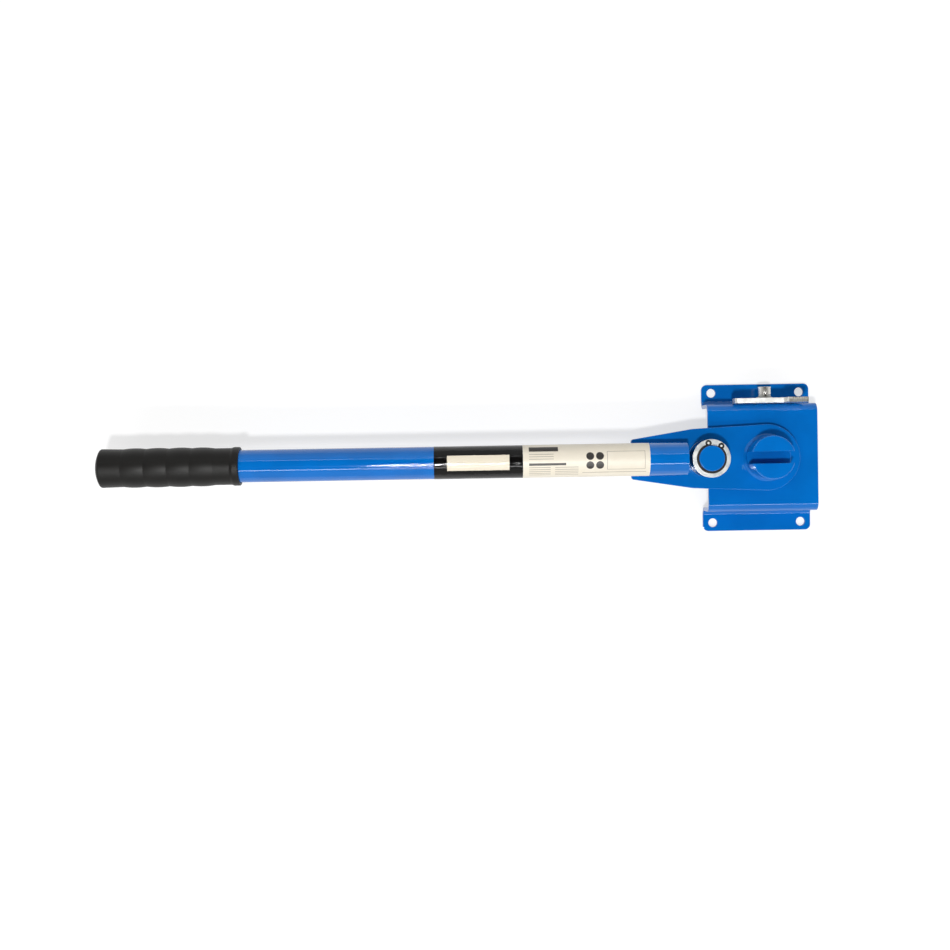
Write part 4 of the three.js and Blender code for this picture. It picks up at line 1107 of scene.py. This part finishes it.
def socket_screw():
    """A knurled head with a hexagon socket, and a shank with a helical thread."""
    radius = (screw_high[0] - screw_low[0]) / 2
    angle = np.linspace(0, 2 * math.pi, KNURL_STEPS * KNURL_TEETH, endpoint=False)
    side = np.stack((np.cos(angle), np.sin(angle)), axis=1)
    rim = side * (radius - KNURL_DEPTH * np.abs(np.sin(KNURL_TEETH * angle / 2))[:, None])
    corner = SCREW_SOCKET_ACROSS / math.sqrt(3)
    hexagon = outline([(corner * math.cos(-i * math.pi / 3), corner * math.sin(-i * math.pi / 3), SMALL_EDGE)
                       for i in range(6)])
    head_middle = screw_axis + (0, screw_high[1] - SCREW_HEAD_HEIGHT / 2, 0)
    head = plate([(rim, side), hexagon], SCREW_HEAD_HEIGHT, SCREW_HEAD_EDGE / 2,
                 flat(head_middle, (0, 0, 1), (1, 0, 0)))
    tip, floor = screw_low[1], screw_high[1] - SCREW_SOCKET_DEPTH
    thread_end = node_box("stop_nut")[1][1]
    rows = np.arange(tip, thread_end, THREAD_PITCH / THREAD_STEPS_ALONG)
    threaded = np.stack((np.full(len(rows), SCREW_RADIUS), rows), axis=1)
    line = np.concatenate(([(0, tip), (SCREW_RADIUS - THREAD_DEPTH, tip)], threaded,
                           [(SCREW_RADIUS, floor), (0, floor)]))

    def thread(angle, height):
        """A triangle wave along a helix, one pitch a turn, cut into the shank up to the wall."""
        turns = (height / THREAD_PITCH - angle / (2 * math.pi)) % 1
        there = (height > tip) & (height < thread_end)
        return -THREAD_DEPTH * np.abs(2 * turns - 1) * there

    shank = turned((line, line), screw_axis, (0, 1, 0), closed=False, steps=THREAD_STEPS_ROUND, wave=thread)
    return [outwards(head), outwards(shank)]


def hexagon_nut():
    """A hexagon trimmed by two cones: the radius is the lesser of the flat's and the bevel's."""
    low, high = node_box("stop_nut")
    corner = NUT_ACROSS / math.sqrt(3)
    rise = np.linspace(0, NUT_BEVEL, NUT_BEVEL_STEPS)
    bevel = np.stack((corner - NUT_BEVEL + rise, low[1] + rise * NUT_BEVEL_SLOPE_SHARE), axis=1)
    upper = np.stack((bevel[::-1, 0], high[1] + low[1] - bevel[::-1, 1]), axis=1)
    line = np.concatenate(([(SCREW_RADIUS, low[1])], bevel, upper, [(SCREW_RADIUS, high[1])]))
    reach = line[:, :1]

    def flats(angle, height):
        turn = (angle + math.pi / 6) % (math.pi / 3) - math.pi / 6
        return np.minimum(NUT_ACROSS / 2 / np.cos(turn), reach) - reach

    return outwards(turned((line, line), screw_axis, (0, 1, 0), wave=flats))


def split_washer():
    """A spring washer: a square section carried nearly round, climbing a little from end to end."""
    low, high = node_box("stop_spring_washer")
    outer = (high[0] - low[0]) / 2
    half_split = SPRING_WASHER_SPLIT / 2
    angle = np.linspace(half_split, 2 * math.pi - half_split, SMALL_ROUND_STEPS)[:, None]
    section, _ = ring_profile(SCREW_HOLE_RADIUS, outer, low[1], high[1] - SPRING_WASHER_LIFT)
    outs = np.concatenate((np.sin(angle), np.zeros_like(angle), np.cos(angle)), axis=1)
    ups = np.tile((0.0, 1, 0), (len(angle), 1))
    climb = np.linspace(0, SPRING_WASHER_LIFT, len(angle))[:, None]
    return outwards(swept(np.tile(section, (len(angle), 1, 1)), screw_axis + climb * ups, outs, ups))


def hand_grip():
    """The sleeve: a radius that follows the length, turned about the tube's axis, closed at the far end."""
    bore = tube_radius + GRIP_WALL_GAP
    end, groove = GRIP_END_DIAMETER / 2, GRIP_GROOVE_DIAMETER / 2
    neck, collar = GRIP_NECK_DIAMETER / 2, GRIP_COLLAR_DIAMETER / 2
    corners = [
        (0, 0, 0), (end / 2, 0, GRIP_DOME_RADIUS), (end, GRIP_END_SHOULDER, GRIP_END_RADIUS),
        (groove, GRIP_PLAIN_LENGTH, GRIP_PLAIN_FILLET),
    ]
    bulges_end = GRIP_PLAIN_LENGTH + GRIP_BULGE_COUNT * GRIP_BULGE_PITCH
    neck_end = bulges_end + GRIP_NECK_LENGTH
    mouth = neck_end + GRIP_COLLAR_RAMP + GRIP_COLLAR_LENGTH
    crown_rise = GRIP_BULGE_RISE / (1 - GRIP_BULGE_ARC_SHARE / 2)
    crown_radius = GRIP_BULGE_ARC_SHARE * (GRIP_BULGE_PITCH / 2) ** 2 / crown_rise
    for i in range(GRIP_BULGE_COUNT):
        start = GRIP_PLAIN_LENGTH + i * GRIP_BULGE_PITCH
        corners.append((groove + crown_rise, start + GRIP_BULGE_PITCH / 2, crown_radius))
        corners.append((groove, start + GRIP_BULGE_PITCH, GRIP_GROOVE_FILLET))
    corners[-1] = (neck, bulges_end, GRIP_NECK_FILLET)
    corners += [
        (neck, neck_end, GRIP_COLLAR_FILLET), (collar, neck_end + GRIP_COLLAR_RAMP, GRIP_COLLAR_FILLET),
        (collar, mouth, GRIP_MOUTH_FILLET), (bore, mouth, GRIP_BORE_FILLET),
        (bore, GRIP_END_WALL, GRIP_BORE_FILLET), (0, GRIP_END_WALL, 0),
    ]
    far_end = node_box("hand_grip")[0][0]
    centre = np.array((far_end, tube_axis[1], tube_axis[2]))
    return turned(outline(corners, closed=False), centre, (1, 0, 0), closed=False)


def film(span):
    """A label film: a thin shell part of the way round the tube, wrinkled by two slow waves."""
    start, end = (tube_axis[0] - reach for reach in span)
    angle = np.linspace(-FILM_HALF_WRAP, FILM_HALF_WRAP, FILM_STEPS_ROUND)[None, :]
    x = np.linspace(start + FILM_END_INSET, end - FILM_END_INSET, FILM_STEPS_ALONG)[:, None]
    short = np.sin(x / SHORT_WRINKLE + SHORT_WRINKLE_SKEW * angle)
    long = np.sin(x / LONG_WRINKLE + LONG_WRINKLE_SKEW * angle)
    radius = tube_radius + FILM_LIFT + FILM_THICKNESS + WRINKLE_DEPTH * short * long
    inside = np.full_like(radius, tube_radius + FILM_LIFT)
    radius = np.concatenate((radius, inside[:, ::-1]), axis=1)
    turn = np.concatenate((angle, angle[:, ::-1]), axis=1)
    section = np.stack((radius * np.sin(turn), radius * np.cos(turn)), axis=-1)
    outs = np.tile((0.0, 1, 0), (len(x), 1))
    ups = np.tile((0.0, 0, 1), (len(x), 1))
    spots = np.concatenate((x, np.full_like(x, tube_axis[1]), np.full_like(x, tube_axis[2])), axis=1)
    return outwards(swept(section, spots, outs, ups))


def upright_ring(node, inner, edge=TURNED_EDGE):
    """A ring as wide and as high as its node, about its node's own upright axis."""
    low, high = node_box(node)
    return turned(ring_profile(inner, (high[0] - low[0]) / 2, low[2], high[2], edge), upright_axis(node))


def circlip(node, centre, groove_radius, width, lug):
    """A circlip as thick and as high as its node, in a groove about an upright axis."""
    low, high = node_box(node)
    place = flat(centre + (0, 0, (low[2] + high[2]) / 2), (1, 0, 0), (0, 1, 0))
    return plate(circlip_loops(groove_radius, width, lug), high[2] - low[2], CIRCLIP_EDGE, place)


# The base and what is fixed to it
piece("folded_base", paint, [folded_base()], "base_channel")
hub_bore = SPIGOT_RADIUS + BORE_GAP
piece("hub_sleeve", paint, [upright_ring("pivot_hub", hub_bore, SPIGOT_CHAMFER)], "pivot_hub")
hub_low, hub_high = node_box("pivot_hub")
bead_low, bead_high = node_box("hub_weld")
hub_weld = ring_weld((hub_high[0] - hub_low[0]) / 2, bead_high[2], bead_high[2] - bead_low[2], pivot, -1)
piece("hub_weld_bead", weld_paint, [hub_weld], "hub_weld", crease=CREASE_ANGLE)
piece("thrust_washer", steel, [upright_ring("pivot_thrust_washer", hub_bore)], "pivot_thrust_washer")
piece("stop_strip", stop_zinc, [stop_plate()], "stop_plate")
piece("socket_screw", screw_zinc_with_painted_light, socket_screw(), "stop_screw", crease=SCREW_CREASE_ANGLE)
piece("hexagon_nut", zinc, [hexagon_nut()], "stop_nut", crease=NUT_CREASE_ANGLE)
piece("split_washer", zinc, [split_washer()], "stop_spring_washer", crease=WASHER_CREASE_ANGLE)
washer_low, washer_high = node_box("stop_flat_washer")
washer_profile = ring_profile(
    SCREW_HOLE_RADIUS, (washer_high[0] - washer_low[0]) / 2, washer_low[1], washer_high[1])
piece("flat_washer", zinc, [turned(washer_profile, screw_axis, (0, 1, 0))], "stop_flat_washer")

# The lever
piece("lever_blade", paint, [lever_plate()], "lever_plate")
slotted_post()
post_radius = (post_high[0] - post_low[0]) / 2
weld_low, weld_high = node_box("post_weld")
post_weld = ring_weld(post_radius, weld_low[2], weld_high[2] - weld_low[2], pivot)
piece("post_foot_weld", weld_paint, [post_weld], "post_weld", crease=CREASE_ANGLE)
tube_profile = ring_profile(tube_radius - TUBE_WALL, tube_radius, tube_low[0], tube_high[0], TUBE_EDGE)
tube = turned(tube_profile, np.array((0, tube_axis[1], tube_axis[2])), (1, 0, 0))
piece("tube", tube_paint, [tube], "lever_tube")
piece("tube_bead_front", weld_paint, [tube_weld(-1)], "tube_weld_front", crease=CREASE_ANGLE)
piece("tube_bead_back", weld_paint, [tube_weld(1)], "tube_weld_back", crease=CREASE_ANGLE)
piece("grip_sleeve", plastic, [hand_grip()], "hand_grip")
piece("black_label_film", black_film(tuple(tube_axis)), [film(BLACK_FILM)], body="lever", crease=CREASE_ANGLE)
piece("cream_label_film", cream_film(tuple(tube_axis)), [film(CREAM_FILM)], body="lever", crease=CREASE_ANGLE)
piece("spigot_washer", zinc, [upright_ring("pivot_washer", hub_bore)], "pivot_washer")
spigot_clip = circlip("pivot_circlip", pivot, SPIGOT_RADIUS - SPIGOT_GROOVE_DEPTH, PIVOT_CIRCLIP_WIDTH,
                      PIVOT_CIRCLIP_LUG)
piece("spigot_clip", black_steel, [spigot_clip], "pivot_circlip")

# The roller, its pin and what lies on the pin
pin_radius = (pin_high[0] - pin_low[0]) / 2
pin_bore = pin_radius + BORE_GAP
clip_low, clip_high = node_box("roller_circlip")
pin_groove = pin_radius - PIN_GROOVE_DEPTH
fine_edge = TURNED_EDGE / 2
pin_profile = outline([
    (0, pin_low[2], 0), (PIN_FOOT_RADIUS, pin_low[2], TURNED_EDGE),
    (PIN_FOOT_RADIUS, plate_high[2], TURNED_EDGE), (pin_radius, plate_high[2] + GROOVE_GAP, fine_edge),
    (pin_radius, clip_low[2] - GROOVE_GAP, fine_edge), (pin_groove, clip_low[2] - GROOVE_GAP, fine_edge),
    (pin_groove, clip_high[2] + GROOVE_GAP, fine_edge), (pin_radius, clip_high[2] + GROOVE_GAP, fine_edge),
    (pin_radius, pin_high[2], PIN_CHAMFER), (0, pin_high[2], 0),
], closed=False)
piece("roller_pin_body", paint, [turned(pin_profile, roller_axis, closed=False)], "roller_pin")
pin_weld_face = plate_low[2] - PIN_WELD_RISE
pin_weld = turned(outline([
    (PIN_FOOT_RADIUS, pin_weld_face, SMALL_EDGE),
    (PIN_FOOT_RADIUS + PIN_WELD_LEG, pin_weld_face, SMALL_EDGE),
    (PIN_FOOT_RADIUS, plate_low[2] + PIN_WELD_LEG, SMALL_EDGE),
]), roller_axis)
piece("roller_pin_plug_weld", weld_paint, [pin_weld], "roller_pin_weld")
piece("roller_low_washer", zinc, [upright_ring("roller_lower_washer", pin_bore)], "roller_lower_washer")
high_washer = upright_ring("roller_top_washer", pin_bore, ROLLER_WASHER_EDGE)
piece("roller_high_washer", washer_zinc, [high_washer], "roller_top_washer")
clip = circlip("roller_circlip", roller_axis, pin_groove, ROLLER_CIRCLIP_WIDTH, ROLLER_CIRCLIP_LUG)
piece("roller_clip", black_steel, [clip], "roller_circlip")
bush_outer = pin_bore + BUSH_WALL
piece("roller_body", steel, [upright_ring("bending_roller", bush_outer + GROOVE_GAP, SPIGOT_CHAMFER)],
      "bending_roller")
piece("bush_sleeve", bronze, [upright_ring("roller_bush", pin_bore)], "roller_bush")


def stage_floor():
    """The bench: plain and pale, white to the eye and in reflections, and keeping the object's shadow."""
    half = FLOOR_SIZE / 2
    mesh = bpy.data.meshes.new("floor")
    corners = [(-half, -half, 0), (half, -half, 0), (half, half, 0), (-half, half, 0)]
    mesh.from_pydata(corners, [], [(0, 1, 2, 3)])
    floor = bpy.data.objects.new("floor", mesh)
    bpy.context.scene.collection.objects.link(floor)
    finish = Finish("pale_floor", Roughness=0.9, Specular_IOR_Level=0.0, Emission_Strength=1.0)
    direct = finish.node("ShaderNodeLightPath", output="Is Camera Ray")
    glossy = finish.node("ShaderNodeLightPath", output="Is Glossy Ray")
    clear = finish.node("ShaderNodeLightPath", output="Is Transmission Ray")
    seen = finish.math("MAXIMUM", direct, finish.math("MAXIMUM", glossy, clear))
    plain = (FLOOR_WHITE_TO_LIGHT,) * 3 + (1,)
    bright = (FLOOR_WHITE_TO_EYE,) * 3 + (1,)
    finish.feed("Base Color", finish.mix(seen, plain, bright))
    finish.feed("Emission Color", seen * FLOOR_GLOW)
    mesh.materials.append(finish.material)


def sky():
    """A white surround that darkens overhead, so that gloss on level faces stays deep."""
    world = bpy.data.worlds.new("studio")
    bpy.context.scene.world = world
    world.use_nodes = True
    nodes, links = world.node_tree.nodes, world.node_tree.links
    place = nodes.new("ShaderNodeTexCoord")
    split = nodes.new("ShaderNodeSeparateXYZ")
    links.new(place.outputs["Generated"], split.inputs[0])
    ramp = nodes.new("ShaderNodeMapRange")
    ramp.interpolation_type = "SMOOTHSTEP"
    links.new(split.outputs["Z"], ramp.inputs["Value"])
    fade = {"From Min": SKY_FADE[0], "From Max": SKY_FADE[1], "To Min": SKY_HORIZON, "To Max": SKY_ZENITH}
    for name, value in fade.items():
        ramp.inputs[name].default_value = value
    seen = nodes.new("ShaderNodeLightPath")
    level = nodes.new("ShaderNodeMix")
    links.new(seen.outputs["Is Camera Ray"], level.inputs[0])
    links.new(ramp.outputs[0], level.inputs[2])
    level.inputs[3].default_value = 1
    links.new(level.outputs[0], nodes["Background"].inputs["Strength"])
    nodes["Background"].inputs["Color"].default_value = (1, 1, 1, 1)


def lamp(name, place, size, power):
    """A rectangular lamp at a place, which faces the object's middle and isn't seen itself."""
    light = bpy.data.lights.new(name, "AREA")
    light.shape = "RECTANGLE"
    light.size, light.size_y = size
    light.energy = power
    made = bpy.data.objects.new(name, light)
    bpy.context.scene.collection.objects.link(made)
    made.location = place
    made.rotation_euler = Vector(place).to_track_quat("Z", "Y").to_euler()
    made.visible_camera = False


def strip_lamp(name, from_zenith, width, power):
    """A long lamp along X, which leans from the zenith towards +Y, or towards -Y if the angle is negative."""
    place = (0, STRIP_DISTANCE * math.sin(from_zenith), STRIP_DISTANCE * math.cos(from_zenith))
    lamp(name, place, (STRIP_LENGTH, width), power)


stage_floor()
sky()
lamp("key", KEY_PLACE, (KEY_SIZE, KEY_SIZE), KEY_POWER)
strip_lamp("near_strip", -NEAR_STRIP_FROM_ZENITH, NEAR_STRIP_WIDTH, NEAR_STRIP_POWER)
strip_lamp("far_strip", FAR_STRIP_FROM_ZENITH, FAR_STRIP_WIDTH, FAR_STRIP_POWER)

camera_data = bpy.data.cameras.new("camera")
camera = bpy.data.objects.new("camera", camera_data)
bpy.context.scene.collection.objects.link(camera)
camera.location = (pivot[0] + CAMERA_FROM_PIVOT, pivot[1] + CAMERA_ACROSS, CAMERA_HEIGHT)
camera.rotation_euler = (CAMERA_PITCH, 0, CAMERA_ROLL)
camera_data.lens = CAMERA_LENS
camera_data.sensor_width = CAMERA_SENSOR
bpy.context.scene.camera = camera
bpy.context.scene.view_settings.view_transform = "Standard"
